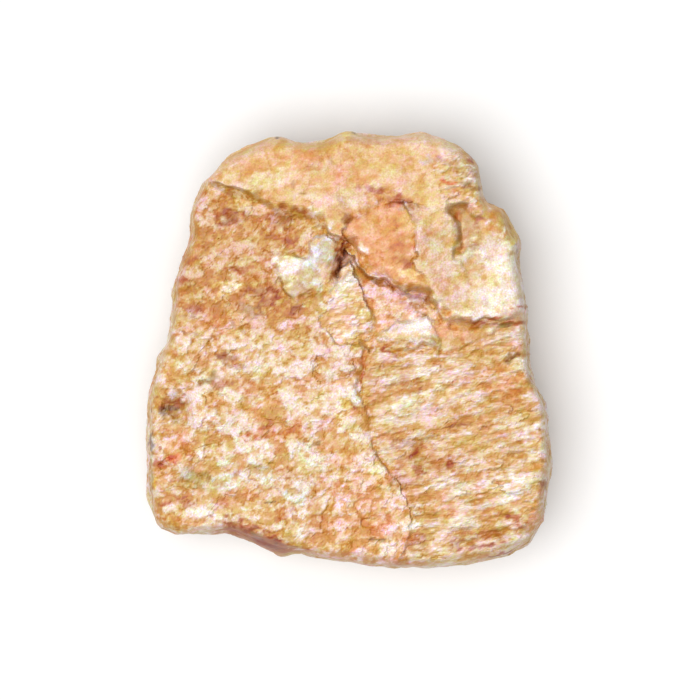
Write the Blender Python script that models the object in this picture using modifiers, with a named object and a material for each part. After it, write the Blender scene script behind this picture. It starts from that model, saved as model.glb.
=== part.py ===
# Rough bustamite: one natural lump, lying on its back with its best face up.
# Lengths in the lists below are millimetres; the finished stone is in metres, +Z up.
# The origin is the middle of the footprint, on the small flat the stone rests on.

import bpy
import bmesh
import numpy
from mathutils import Vector, noise

MILLIMETRE = 0.001
BLANK_HEIGHT = 23.0
FIRST_VOXEL = 0.42
SECOND_VOXEL = 0.36
TRIANGLE_TARGET = 9200
REST_DEPTH = 0.35
REST_TOLERANCE = 0.05

# The crystals' long direction runs slightly uphill to the right on the top.
GRAIN_ALONG = Vector((0.985, 0.174, 0.0))
GRAIN_ACROSS = Vector((-0.174, 0.985, 0.0))
BLOCK_LENGTH = 3.4
BLOCK_WIDTH = 2.3
BLOCK_TILT = 0.34
BLOCK_STEP = 0.22
FIBRE_LENGTH = 5.0
FIBRE_WIDTH = 1.3
FIBRE_HEIGHT = 0.45
SMOOTH_LUMP_SIZE = 3.6
SMOOTH_LUMP_HEIGHT = 0.30
SIDE_SPLINTER_LENGTH = 8.0
SIDE_SPLINTER_WIDTH = 3.3
SIDE_SPLINTER_HEIGHT = 0.5
SIDE_BLOCK_SIZE = 6.5
SIDE_BLOCK_HEIGHT = 0.9
SIDE_TOP = 21.0
SIDE_FADE = 4.0
REST_FADE = 2.5

STONE_COLOUR = (0.72, 0.46, 0.27, 1.0)
STONE_ROUGHNESS = 0.55
STONE_METALLIC = 0.0

# Outline seen from above, clockwise from the upper left corner.
OUTLINE = [
    (-16.8, 19.3), (-13.9, 22.2), (-8.4, 24.4), (-5.6, 23.8), (-3.1, 23.8), (-0.3, 25.0),
    (3.6, 24.3), (8.7, 24.8), (13.1, 23.0), (14.7, 21.3), (15.6, 17.0), (17.8, 15.9),
    (19.4, 12.1), (19.2, 10.6), (20.4, 5.1), (20.7, -1.5), (21.3, -4.0), (22.7, -6.1),
    (23.2, -13.3), (22.4, -20.2), (20.8, -22.3), (17.9, -23.8), (9.3, -25.1), (4.7, -25.1),
    (-3.6, -24.0), (-5.9, -23.5), (-7.9, -24.0), (-11.8, -21.6), (-14.1, -20.9), (-19.9, -21.5),
    (-22.0, -20.5), (-23.2, -16.2), (-23.1, -6.8), (-22.0, -0.8), (-20.7, 0.8), (-20.2, 7.0),
    (-18.3, 12.8), (-18.2, 16.0),
]

# Height up the blank and how much of the outline's width it has there.
LEVELS = [(0.0, 0.84), (5.0, 0.94), (10.0, 0.985), (14.0, 1.0), (19.0, 0.995), (21.6, 0.98), (BLANK_HEIGHT, 0.95)]

# Flat breaks round the underside: a point on the break and the way it faces.
UNDERSIDE_BREAKS = {
    "front": {"at": (0.0, -24.6, 11.0), "faces": (0.10, -0.72, -0.68)},
    "front_left": {"at": (-21.5, -19.5, 12.0), "faces": (-0.62, -0.42, -0.66)},
    "left": {"at": (-22.8, -8.0, 11.0), "faces": (-0.70, 0.08, -0.71)},
    "upper_left": {"at": (-18.5, 15.0, 12.0), "faces": (-0.66, 0.38, -0.65)},
    "back": {"at": (0.0, 24.2, 12.0), "faces": (-0.06, 0.66, -0.75)},
    "back_right": {"at": (18.0, 15.0, 11.0), "faces": (0.58, 0.45, -0.68)},
    "right": {"at": (22.8, -9.0, 9.0), "faces": (0.74, -0.06, -0.67)},
    "front_right": {"at": (20.5, -21.5, 10.0), "faces": (0.48, -0.52, -0.71)},
    "left_belly": {"at": (-13.0, -2.0, 2.4), "faces": (-0.30, -0.10, -0.95)},
    "back_belly": {"at": (2.0, 11.0, 1.9), "faces": (0.12, 0.32, -0.94)},
    "right_belly": {"at": (14.0, -4.0, 1.6), "faces": (0.31, -0.05, -0.95)},
}

# Broken faces of the top. Each has its edge, its height at one spot, how much it rises per
# millimetre to the right and to the back, and how it broke. Later ones lie over earlier ones.
TOP_FACES = {
    "upper_right_floor": {
        "edge": [(8.0, 28.0), (28.0, 28.0), (28.0, 1.0), (14.0, 1.0), (9.0, 3.5), (6.0, 8.0)],
        "spot": (15.0, 9.0), "height": 21.2, "rise": (-0.05, -0.03), "blend": 1.5, "skin": "smooth",
    },
    "upper_left_face": {
        "edge": [(-23.0, 20.6), (-16.6, 19.3), (-11.4, 17.5), (-5.6, 15.6), (-0.5, 12.5), (-0.5, 8.5),
                 (-2.2, 5.6), (-0.5, 2.2), (-3.5, 0.6), (-6.5, 2.8), (-10.0, 1.0), (-13.5, 3.2),
                 (-17.0, 1.4), (-24.0, 3.4)],
        "spot": (-11.0, 11.0), "height": 20.3, "rise": (0.13, -0.07), "blend": 0.7, "skin": "blocky",
    },
    "fibrous_plane": {
        "edge": [(1.5, -0.3), (5.9, 0.7), (11.6, 0.5), (15.1, 1.3), (20.8, 2.8), (26.0, 2.2), (26.0, -28.0),
                 (5.3, -28.0), (6.4, -22.5), (7.0, -19.7), (5.9, -16.2), (3.7, -13.7), (2.9, -11.6),
                 (2.0, -8.7), (1.5, -5.3)],
        "spot": (13.0, -12.0), "height": 21.2, "rise": (-0.07, 0.03), "blend": 0.5, "skin": "fibrous",
    },
    "blocky_foot": {
        "edge": [(-1.0, -14.8), (2.9, -11.6), (3.7, -13.7), (5.9, -16.2), (7.0, -19.7), (6.4, -22.5),
                 (5.3, -28.0), (-3.3, -28.0), (-2.5, -19.7)],
        "spot": (2.0, -20.0), "height": 21.9, "rise": (-0.02, 0.08), "blend": 0.5, "skin": "blocky",
    },
    "upper_band": {
        "edge": [(-20.0, 18.9), (-16.6, 19.3), (-11.4, 17.5), (-5.6, 15.6), (-0.5, 12.5), (0.3, 15.4),
                 (5.9, 16.6), (10.5, 15.8), (17.4, 15.5), (20.8, 28.6), (-20.0, 28.6)],
        "spot": (-3.0, 20.0), "height": 21.6, "rise": (0.03, -0.16), "blend": 0.4, "skin": "smooth",
    },
    "corner_knob": {
        "edge": [(10.5, 27.5), (19.7, 27.5), (17.9, 16.4), (13.9, 15.8), (10.5, 16.4), (9.5, 19.4)],
        "spot": (13.0, 20.0), "height": 22.0, "rise": (-0.16, -0.05), "blend": 1.2, "skin": "fibrous",
    },
    "brown_gap": {
        "edge": [(12.0, 16.0), (13.7, 16.3), (15.6, 14.6), (15.9, 12.4), (13.5, 9.8), (12.3, 10.6), (11.8, 13.7)],
        "spot": (13.5, 13.0), "height": 21.0, "rise": (0.0, -0.06), "blend": 0.9, "skin": "smooth",
    },
    "right_knob": {
        "edge": [(15.5, 17.7), (23.1, 17.7), (23.1, 10.9), (17.9, 11.2), (16.0, 12.5), (15.1, 14.8)],
        "spot": (18.0, 14.0), "height": 20.9, "rise": (-0.30, -0.10), "blend": 0.7, "skin": "smooth",
    },
    "pink_hollow": {
        "edge": [(-0.5, 10.8), (2.4, 8.9), (5.9, 7.0), (10.5, 5.6), (11.2, 3.3), (8.2, 2.6), (3.6, 2.0),
                 (2.4, -0.3), (-0.5, 2.2), (-2.0, 5.6)],
        "spot": (4.0, 5.0), "height": 20.5, "rise": (0.03, -0.06), "blend": 0.5, "skin": "blocky",
    },
    "white_face": {
        "edge": [(12.0, 9.6), (13.6, 11.9), (16.0, 12.6), (19.7, 11.4), (22.5, 5.6), (22.0, 4.3), (16.2, 3.7),
                 (11.6, 3.0), (12.0, 6.0)],
        "spot": (17.0, 8.0), "height": 21.8, "rise": (-0.06, -0.10), "blend": 0.4, "skin": "smooth",
    },
    "orange_block": {
        "edge": [(0.3, 15.5), (3.6, 16.4), (6.4, 16.4), (7.5, 14.1), (7.7, 10.0), (10.5, 5.6), (8.2, 6.1),
                 (5.9, 7.0), (2.4, 8.9), (0.1, 11.4), (-0.6, 13.5)],
        "spot": (4.0, 11.0), "height": 22.3, "rise": (0.04, -0.05), "blend": 0.5, "skin": "smooth",
    },
    "pale_rib": {
        "edge": [(6.6, 16.4), (10.5, 16.2), (12.2, 14.3), (12.5, 10.0), (13.9, 5.6), (13.0, 3.4), (11.2, 3.3),
                 (9.5, 5.9), (7.7, 10.0), (7.5, 14.1)],
        "spot": (9.5, 10.0), "height": 22.9, "rise": (-0.20, -0.02), "blend": 0.35, "skin": "smooth",
    },
    "belly": {
        "edge": [(9.3, 3.1), (12.8, 3.2), (17.4, 3.4), (16.2, 1.6), (13.0, 0.1), (10.5, -0.1), (9.1, 1.3)],
        "spot": (13.0, 1.5), "height": 21.6, "rise": (0.0, 0.0), "blend": 0.6, "skin": "smooth",
    },
    "white_blade": {
        "edge": [(3.1, 1.7), (5.3, 3.1), (8.9, 3.6), (9.7, 1.3), (7.0, 0.5), (4.1, 0.9)],
        "spot": (6.0, 2.0), "height": 21.9, "rise": (0.0, -0.10), "blend": 0.35, "skin": "smooth",
    },
    "fan_blade": {
        "edge": [(0.1, 9.8), (1.7, 7.5), (2.6, 4.5), (2.0, 1.5), (-0.8, 0.3), (-3.1, 2.6), (-2.1, 6.1), (-0.9, 8.2)],
        "spot": (0.0, 4.0), "height": 21.5, "rise": (-0.05, 0.05), "blend": 0.4, "skin": "fibrous",
    },
    "quartz_plate": {
        "edge": [(-8.6, 10.2), (-5.6, 10.9), (-3.5, 10.0), (-3.3, 6.9), (-5.6, 6.0), (-7.8, 6.8)],
        "spot": (-6.0, 8.5), "height": 21.7, "rise": (0.08, -0.05), "blend": 0.35, "skin": "smooth",
    },
    "quartz_tooth": {
        "edge": [(-4.3, 12.5), (-2.2, 13.0), (-0.7, 11.6), (-1.5, 8.5), (-3.6, 6.6), (-3.9, 10.0)],
        "spot": (-2.5, 10.0), "height": 22.1, "rise": (-0.10, 0.04), "blend": 0.35, "skin": "smooth",
    },
    "brown_lip": {
        "edge": [(-13.5, -20.6), (-10.0, -21.6), (-6.8, -22.4), (-4.3, -23.6), (-5.0, -28.0), (-15.0, -28.0)],
        "spot": (-9.0, -21.8), "height": 19.5, "rise": (0.10, 1.35), "blend": 0.4, "skin": "smooth",
    },
}
GROUND_FACE = {"spot": (-10.0, -8.0), "height": 21.2, "rise": (0.10, 0.02)}

# Cracks and crevices of the top: the line, the half width and the depth.
CREVICES = {
    "deep_pit": {"line": [(-0.1, 11.7), (-0.3, 10.0), (-1.2, 7.7)], "width": 0.75, "depth": 2.6},
    "under_block": {"line": [(0.1, 11.2), (2.6, 8.9), (5.9, 7.0), (8.7, 5.9), (10.8, 4.6)], "width": 0.55, "depth": 1.2},
    "under_white_face": {"line": [(11.8, 2.9), (15.1, 3.0), (17.6, 3.4), (20.6, 4.2)], "width": 0.5, "depth": 1.3},
    "under_belly": {"line": [(10.5, -0.2), (13.0, 0.0), (16.2, 1.5), (18.1, 2.6), (20.6, 3.2)], "width": 0.4, "depth": 0.6},
    "under_blade": {"line": [(3.1, 0.6), (4.8, 0.2), (6.8, -0.3), (9.1, 0.1)], "width": 0.5, "depth": 1.1},
    "split": {"line": [(1.8, -0.1), (1.5, -2.6), (0.9, -3.8), (1.4, -5.2)], "width": 0.5, "depth": 1.0},
    "long_crack": {"line": [(1.6, -5.2), (2.2, -8.7), (3.1, -11.6), (4.0, -13.7)], "width": 0.4, "depth": 0.5},
    "gap_edge": {"line": [(12.5, 10.8), (11.9, 13.5), (12.4, 15.8)], "width": 0.5, "depth": 0.4},
    "sliver_gap": {"line": [(12.8, -22.4), (17.9, -20.6), (21.5, -20.0)], "width": 0.5, "depth": 0.7},
}

# Rounded lumps of the top: the middle, the half length and half width, the turn and the height.
LUMPS = {
    "orange_nodule": {"middle": (-4.5, 21.2), "half": (2.4, 1.5), "turn": -0.1, "height": 0.8},
    "pink_lens": {"middle": (-1.6, 16.4), "half": (2.0, 1.2), "turn": -0.4, "height": 0.6},
    "brown_lens": {"middle": (4.3, 16.9), "half": (1.7, 0.9), "turn": -0.2, "height": -0.7},
    "pink_lump": {"middle": (-15.8, -7.5), "half": (3.0, 1.5), "turn": 0.1, "height": 0.7},
    "dark_pocket": {"middle": (-19.9, -7.0), "half": (2.0, 1.8), "turn": 0.2, "height": -0.9},
    "red_crystal": {"middle": (-19.5, -13.2), "half": (1.9, 2.0), "turn": 0.3, "height": 0.7},
    "brown_pocket": {"middle": (9.0, -11.6), "half": (2.2, 1.4), "turn": 0.2, "height": -0.5},
    "white_block": {"middle": (-6.4, -19.2), "half": (1.3, 1.8), "turn": 0.0, "height": 0.5},
    "splinter_patch": {"middle": (20.0, -15.5), "half": (2.6, 1.4), "turn": 0.2, "height": 0.5},
}


def clear_scene():
    for thing in list(bpy.data.objects):
        bpy.data.objects.remove(thing, do_unlink=True)


def shape_blank():
    """The outline drawn up through its levels."""
    blank = bmesh.new()
    first_height, first_width = LEVELS[0]
    ring = [blank.verts.new((x * first_width, y * first_width, first_height)) for x, y in OUTLINE]
    cap = blank.faces.new(ring)
    width_below = first_width
    for height, width in LEVELS[1:]:
        pulled = bmesh.ops.extrude_face_region(blank, geom=[cap])
        raised = [item for item in pulled["geom"] if isinstance(item, bmesh.types.BMVert)]
        cap = next(item for item in pulled["geom"] if isinstance(item, bmesh.types.BMFace))
        for corner in raised:
            corner.co.x *= width / width_below
            corner.co.y *= width / width_below
            corner.co.z = height
        width_below = width
    bottom = [edge for edge in blank.edges if edge.is_boundary]
    bmesh.ops.holes_fill(blank, edges=bottom, sides=0)
    bmesh.ops.recalc_face_normals(blank, faces=blank.faces[:])
    bmesh.ops.scale(blank, vec=Vector((MILLIMETRE, MILLIMETRE, MILLIMETRE)), verts=blank.verts[:])
    mesh = bpy.data.meshes.new("bustamite_stone")
    blank.to_mesh(mesh)
    blank.free()
    return mesh


def baked(stone):
    """The stone's mesh once its modifiers have been worked out."""
    view = bpy.context.evaluated_depsgraph_get()
    mesh = bpy.data.meshes.new_from_object(stone.evaluated_get(view))
    stone.modifiers.clear()
    return mesh


def remesh(stone, voxel):
    step = stone.modifiers.new("even_skin", "REMESH")
    step.mode = "VOXEL"
    step.voxel_size = voxel * MILLIMETRE
    stone.data = baked(stone)


def break_underside(stone):
    """Presses everything that stands past a flat break back onto it."""
    mesh = stone.data
    places = numpy.empty(len(mesh.vertices) * 3)
    mesh.vertices.foreach_get("co", places)
    places = places.reshape(-1, 3) / MILLIMETRE
    for flat in list(UNDERSIDE_BREAKS.values()) * 2:
        facing = numpy.array(Vector(flat["faces"]).normalized())
        past = numpy.maximum((places - numpy.array(flat["at"])) @ facing, 0.0)
        places -= past[:, None] * facing
    mesh.vertices.foreach_set("co", (places * MILLIMETRE).ravel())
    mesh.update()


def keep_main_body(stone):
    """Drops crumbs that came loose in the steep places."""
    body = bmesh.new()
    body.from_mesh(stone.data)
    unseen = set(body.verts)
    groups = []
    while unseen:
        group_now = [unseen.pop()]
        for corner in group_now:
            for edge in corner.link_edges:
                far = edge.other_vert(corner)
                if far in unseen:
                    unseen.discard(far)
                    group_now.append(far)
        groups.append(group_now)
    groups.sort(key=len)
    crumbs = [corner for small in groups[:-1] for corner in small]
    bmesh.ops.delete(body, geom=crumbs, context="VERTS")
    body.to_mesh(stone.data)
    body.free()


def distance_to_line(x, y, line, closed=False):
    nearest = numpy.full(x.shape, 1.0e9)
    ends = line[1:] + line[:1] if closed else line[1:]
    for (start_x, start_y), (end_x, end_y) in zip(line, ends):
        along_x = end_x - start_x
        along_y = end_y - start_y
        share = ((x - start_x) * along_x + (y - start_y) * along_y) / (along_x ** 2 + along_y ** 2)
        share = numpy.clip(share, 0.0, 1.0)
        gap = numpy.hypot(x - start_x - share * along_x, y - start_y - share * along_y)
        nearest = numpy.minimum(nearest, gap)
    return nearest


def depth_inside(x, y, edge):
    """Distance inside the edge, negative outside it."""
    inside = numpy.zeros(x.shape, dtype=bool)
    for (start_x, start_y), (end_x, end_y) in zip(edge, edge[1:] + edge[:1]):
        if start_y == end_y:
            continue
        spans = (start_y > y) != (end_y > y)
        crossing = start_x + (y - start_y) * (end_x - start_x) / (end_y - start_y)
        inside ^= spans & (x < crossing)
    gap = distance_to_line(x, y, edge, closed=True)
    return numpy.where(inside, gap, -gap)


def smooth_step(low, high, value):
    share = numpy.clip((value - low) / (high - low), 0.0, 1.0)
    return share * share * (3.0 - 2.0 * share)


def plane_height(face, x, y):
    return face["height"] + (x - face["spot"][0]) * face["rise"][0] + (y - face["spot"][1]) * face["rise"][1]


def top_height(x, y):
    """Height of the broken top over each place on the ground, and how each kind of break covers it."""
    height = plane_height(GROUND_FACE, x, y)
    skins = {"blocky": numpy.ones(x.shape), "fibrous": numpy.zeros(x.shape), "smooth": numpy.zeros(x.shape)}
    for face in TOP_FACES.values():
        cover = smooth_step(-face["blend"] / 2.0, face["blend"] / 2.0, depth_inside(x, y, face["edge"]))
        height = height + (plane_height(face, x, y) - height) * cover
        for skin in skins:
            skins[skin] = skins[skin] * (1.0 - cover) + cover * float(skin == face["skin"])
    for crevice in CREVICES.values():
        gap = distance_to_line(x, y, crevice["line"])
        height = height - crevice["depth"] * numpy.exp(-((gap / crevice["width"]) ** 2))
    for lump in LUMPS.values():
        cosine = numpy.cos(lump["turn"])
        sine = numpy.sin(lump["turn"])
        from_x = x - lump["middle"][0]
        from_y = y - lump["middle"][1]
        along = (from_x * cosine + from_y * sine) / lump["half"][0]
        across = (from_y * cosine - from_x * sine) / lump["half"][1]
        height = height + lump["height"] * numpy.exp(-(along ** 2 + across ** 2))
    return height, skins


def block_relief(place):
    """Cleavage blocks: each cell is a small flat that leans its own way at its own height."""
    scaled = Vector((place.dot(GRAIN_ALONG) / BLOCK_LENGTH, place.dot(GRAIN_ACROSS) / BLOCK_WIDTH, 0.5))
    middle = noise.voronoi(scaled)[1][0]
    seed = middle * 5.3
    lean_x = noise.noise(seed)
    lean_y = noise.noise(seed + Vector((31.0, 0.0, 0.0)))
    step = noise.noise(seed + Vector((0.0, 57.0, 0.0)))
    away = scaled - middle
    leaning = away.x * lean_x * BLOCK_LENGTH + away.y * lean_y * BLOCK_WIDTH
    return BLOCK_TILT * leaning + BLOCK_STEP * step


def fibre_relief(place):
    """Splintery ridges along the grain."""
    scaled = Vector((place.dot(GRAIN_ALONG) / FIBRE_LENGTH, place.dot(GRAIN_ACROSS) / FIBRE_WIDTH, 3.7))
    return FIBRE_HEIGHT * (0.5 - abs(noise.noise(scaled)) - abs(noise.noise(scaled * 2.1)) * 0.5)


def smooth_relief(place):
    scaled = Vector((place.x / SMOOTH_LUMP_SIZE, place.y / SMOOTH_LUMP_SIZE, 8.1))
    return SMOOTH_LUMP_HEIGHT * noise.noise(scaled)


def wavering(places, size, amount, offset):
    """Smooth seeded wander, one number for each place."""
    shift = Vector((offset, offset * 0.7, offset * 1.3))
    return amount * numpy.array([noise.noise(Vector(place) / size + shift) for place in places])


def press_top(stone):
    """Brings the blank's flat top down to the broken faces."""
    mesh = stone.data
    places = numpy.empty(len(mesh.vertices) * 3)
    mesh.vertices.foreach_get("co", places)
    places = places.reshape(-1, 3) / MILLIMETRE
    x = places[:, 0] + wavering(places, 3.2, 0.8, 11.0)
    y = places[:, 1] + wavering(places, 3.2, 0.8, 47.0)
    height, skins = top_height(x, y)
    for number, place in enumerate(places):
        spot = Vector((place[0], place[1], 0.0))
        height[number] += skins["blocky"][number] * block_relief(spot)
        height[number] += skins["fibrous"][number] * fibre_relief(spot)
        height[number] += skins["smooth"][number] * smooth_relief(spot)
    places[:, 2] *= height / BLANK_HEIGHT
    mesh.vertices.foreach_set("co", (places * MILLIMETRE).ravel())
    mesh.update()


def roughen(stone):
    """Splinters along the grain on the sides and back, fading out towards the top and the rest."""
    mesh = stone.data
    starts = [vertex.co / MILLIMETRE for vertex in mesh.vertices]
    outward = [vertex.normal.copy() for vertex in mesh.vertices]
    for vertex, place, normal in zip(mesh.vertices, starts, outward):
        grained = Vector((
            place.dot(GRAIN_ALONG) / SIDE_SPLINTER_LENGTH,
            place.dot(GRAIN_ACROSS) / SIDE_SPLINTER_WIDTH,
            place.z / SIDE_SPLINTER_WIDTH,
        ))
        splinter = 1.0 - 2.0 * abs(noise.noise(grained))
        blocky = noise.voronoi(place / SIDE_BLOCK_SIZE)[0][0]
        side = 1.0 - max(0.0, normal.z)
        side *= min(1.0, max(0.0, (SIDE_TOP - place.z) / SIDE_FADE))
        push = side * (SIDE_SPLINTER_HEIGHT * (splinter - 0.8) + SIDE_BLOCK_HEIGHT * (blocky - 0.5))
        push *= min(1.0, max(0.0, (place.z - REST_DEPTH) / REST_FADE))
        vertex.co = (place + normal * push) * MILLIMETRE
    mesh.update()


def press_rest(stone, level):
    """Presses all that is lower than the level flat, and makes the level the ground."""
    mesh = stone.data
    for vertex in mesh.vertices:
        vertex.co.z = max(0.0, vertex.co.z - level * MILLIMETRE)
    mesh.update()


def thin_out(stone):
    """Fewer, larger facets, all of them triangles."""
    triangles = sum(len(face.vertices) - 2 for face in stone.data.polygons)
    step = stone.modifiers.new("fewer_facets", "DECIMATE")
    step.decimate_type = "COLLAPSE"
    step.ratio = TRIANGLE_TARGET / triangles
    stone.modifiers.new("triangles", "TRIANGULATE")
    stone.data = baked(stone)


def stone_material():
    material = bpy.data.materials.new("bustamite_surface")
    material.use_nodes = True
    surface = material.node_tree.nodes["Principled BSDF"]
    surface.inputs["Base Color"].default_value = STONE_COLOUR
    surface.inputs["Roughness"].default_value = STONE_ROUGHNESS
    surface.inputs["Metallic"].default_value = STONE_METALLIC
    return material


clear_scene()
group = bpy.data.collections.new("bustamite")
bpy.context.scene.collection.children.link(group)
stone = bpy.data.objects.new("bustamite_stone", shape_blank())
group.objects.link(stone)
remesh(stone, FIRST_VOXEL)
break_underside(stone)
press_top(stone)
remesh(stone, SECOND_VOXEL)
keep_main_body(stone)
roughen(stone)
press_rest(stone, REST_DEPTH)
thin_out(stone)
press_rest(stone, REST_TOLERANCE)
stone.name = "bustamite_stone"
stone.data.name = "bustamite_stone"
stone.data.materials.clear()
stone.data.materials.append(stone_material())
print("bustamite_stone", len(stone.data.polygons), "facets")
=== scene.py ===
import math

import bmesh
import bpy
import numpy as np
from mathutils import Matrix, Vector, noise


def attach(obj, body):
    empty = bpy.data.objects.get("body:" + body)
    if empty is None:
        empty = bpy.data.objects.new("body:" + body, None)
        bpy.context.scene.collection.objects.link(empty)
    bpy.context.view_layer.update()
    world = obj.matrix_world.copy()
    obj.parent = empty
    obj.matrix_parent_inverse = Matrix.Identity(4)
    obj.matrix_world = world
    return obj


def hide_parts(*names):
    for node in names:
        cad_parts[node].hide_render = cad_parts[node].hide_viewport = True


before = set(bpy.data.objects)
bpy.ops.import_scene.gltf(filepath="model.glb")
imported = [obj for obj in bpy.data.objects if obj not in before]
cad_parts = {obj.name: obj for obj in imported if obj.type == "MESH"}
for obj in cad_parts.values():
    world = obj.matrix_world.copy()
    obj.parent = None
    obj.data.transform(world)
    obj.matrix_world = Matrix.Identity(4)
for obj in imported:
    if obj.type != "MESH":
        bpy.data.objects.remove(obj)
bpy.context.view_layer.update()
mm = 0.001


# The stone lies on its back and is looked at from straight above, from far away.
camera = {
    "mmPerPixel": 0.115,       # at the level of the widest outline
    "pixels": 700,
    "middlePixel": 350,
    "stoneMiddlePixel": 349,   # the stone's own origin, across and down
    "level": 12.8,
    "lens": 300,
    "sensor": 36,
}


def addCamera():
    lens = bpy.data.cameras.new("photoCamera")
    lens.lens = camera["lens"]
    lens.sensor_width = camera["sensor"]
    offset = (camera["middlePixel"] - camera["stoneMiddlePixel"]) * camera["mmPerPixel"]
    width = camera["pixels"] * camera["mmPerPixel"]
    distance = width * camera["lens"] / camera["sensor"]
    eye = bpy.data.objects.new("photoCamera", lens)
    eye.location = Vector((offset, -offset, camera["level"] + distance)) * mm
    bpy.context.scene.collection.objects.link(eye)
    bpy.context.scene.camera = eye


addCamera()
bpy.context.scene.view_settings.view_transform = "Standard"
print("camera placed")


# The stone's form. All lengths are millimetres, x to the right and y up in the photograph.
stone = {
    "outline": [
        (-16.8, 19.3), (-13.9, 22.2), (-8.4, 24.4), (-5.6, 23.8), (-3.1, 23.8), (-0.3, 25.0),
        (3.6, 24.3), (8.7, 24.8), (13.1, 23.0), (14.7, 21.3), (15.6, 17.0), (17.8, 15.9),
        (19.4, 12.1), (19.2, 10.6), (20.4, 5.1), (20.7, -1.5), (21.3, -4.0), (22.7, -6.1),
        (23.2, -13.3), (22.4, -20.2), (20.8, -22.3), (17.9, -23.8), (9.3, -25.1), (4.7, -25.1),
        (-3.6, -24.0), (-5.9, -23.5), (-7.9, -24.0), (-11.8, -21.6), (-14.1, -20.9), (-19.9, -21.5),
        (-22.0, -20.5), (-23.2, -16.2), (-23.1, -6.8), (-22.0, -0.8), (-20.7, 0.8), (-20.2, 7.0),
        (-18.3, 12.8), (-18.2, 16.0),
    ],
    "blankHeight": 23.0,
    "levels": [                # height up the blank and how much of the outline's width it has there
        (0.0, 0.84), (5.0, 0.94), (10.0, 0.985), (14.0, 1.0), (19.0, 0.995), (21.6, 0.98), (23.0, 0.95),
    ],
    "firstVoxel": 0.42,
    "secondVoxel": 0.42,
    "restDepth": 0.35,         # how much of the underside is pressed flat
    "wander": 0.8,             # how far the edges of the breaks wander, and over what length
    "wanderLength": 3.2,
    "fineWander": 0.40,
    "fineWanderLength": 0.9,
    "softness": 1.0,           # 1 is as soft as the solid, less is crisper
    "softRange": 3.2,          # how much the edges change between crisp and soft, and over what length
    "softLength": 4.0,
    "rimFade": (0.9, 2.2),     # from the rim inwards, where the finer carving sets in
    "topLevel": 12.0,          # what lies above it and faces up is the best face
    "fineCrevices": 0.55,      # how deep the crevices are in the finished top, against the roughed-out one
}

# Flat breaks round the underside: a point on the break and the way it faces.
undersideBreaks = {
    "front": {"at": (0.0, -24.6, 11.0), "faces": (0.10, -0.72, -0.68)},
    "frontLeft": {"at": (-21.5, -19.5, 12.0), "faces": (-0.62, -0.42, -0.66)},
    "left": {"at": (-22.8, -8.0, 11.0), "faces": (-0.70, 0.08, -0.71)},
    "upperLeft": {"at": (-18.5, 15.0, 12.0), "faces": (-0.66, 0.38, -0.65)},
    "back": {"at": (0.0, 24.2, 12.0), "faces": (-0.06, 0.66, -0.75)},
    "backRight": {"at": (18.0, 15.0, 11.0), "faces": (0.58, 0.45, -0.68)},
    "right": {"at": (22.8, -9.0, 9.0), "faces": (0.74, -0.06, -0.67)},
    "frontRight": {"at": (20.5, -21.5, 10.0), "faces": (0.48, -0.52, -0.71)},
    "leftBelly": {"at": (-13.0, -2.0, 2.4), "faces": (-0.30, -0.10, -0.95)},
    "backBelly": {"at": (2.0, 11.0, 1.9), "faces": (0.12, 0.32, -0.94)},
    "rightBelly": {"at": (14.0, -4.0, 1.6), "faces": (0.31, -0.05, -0.95)},
}

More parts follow.
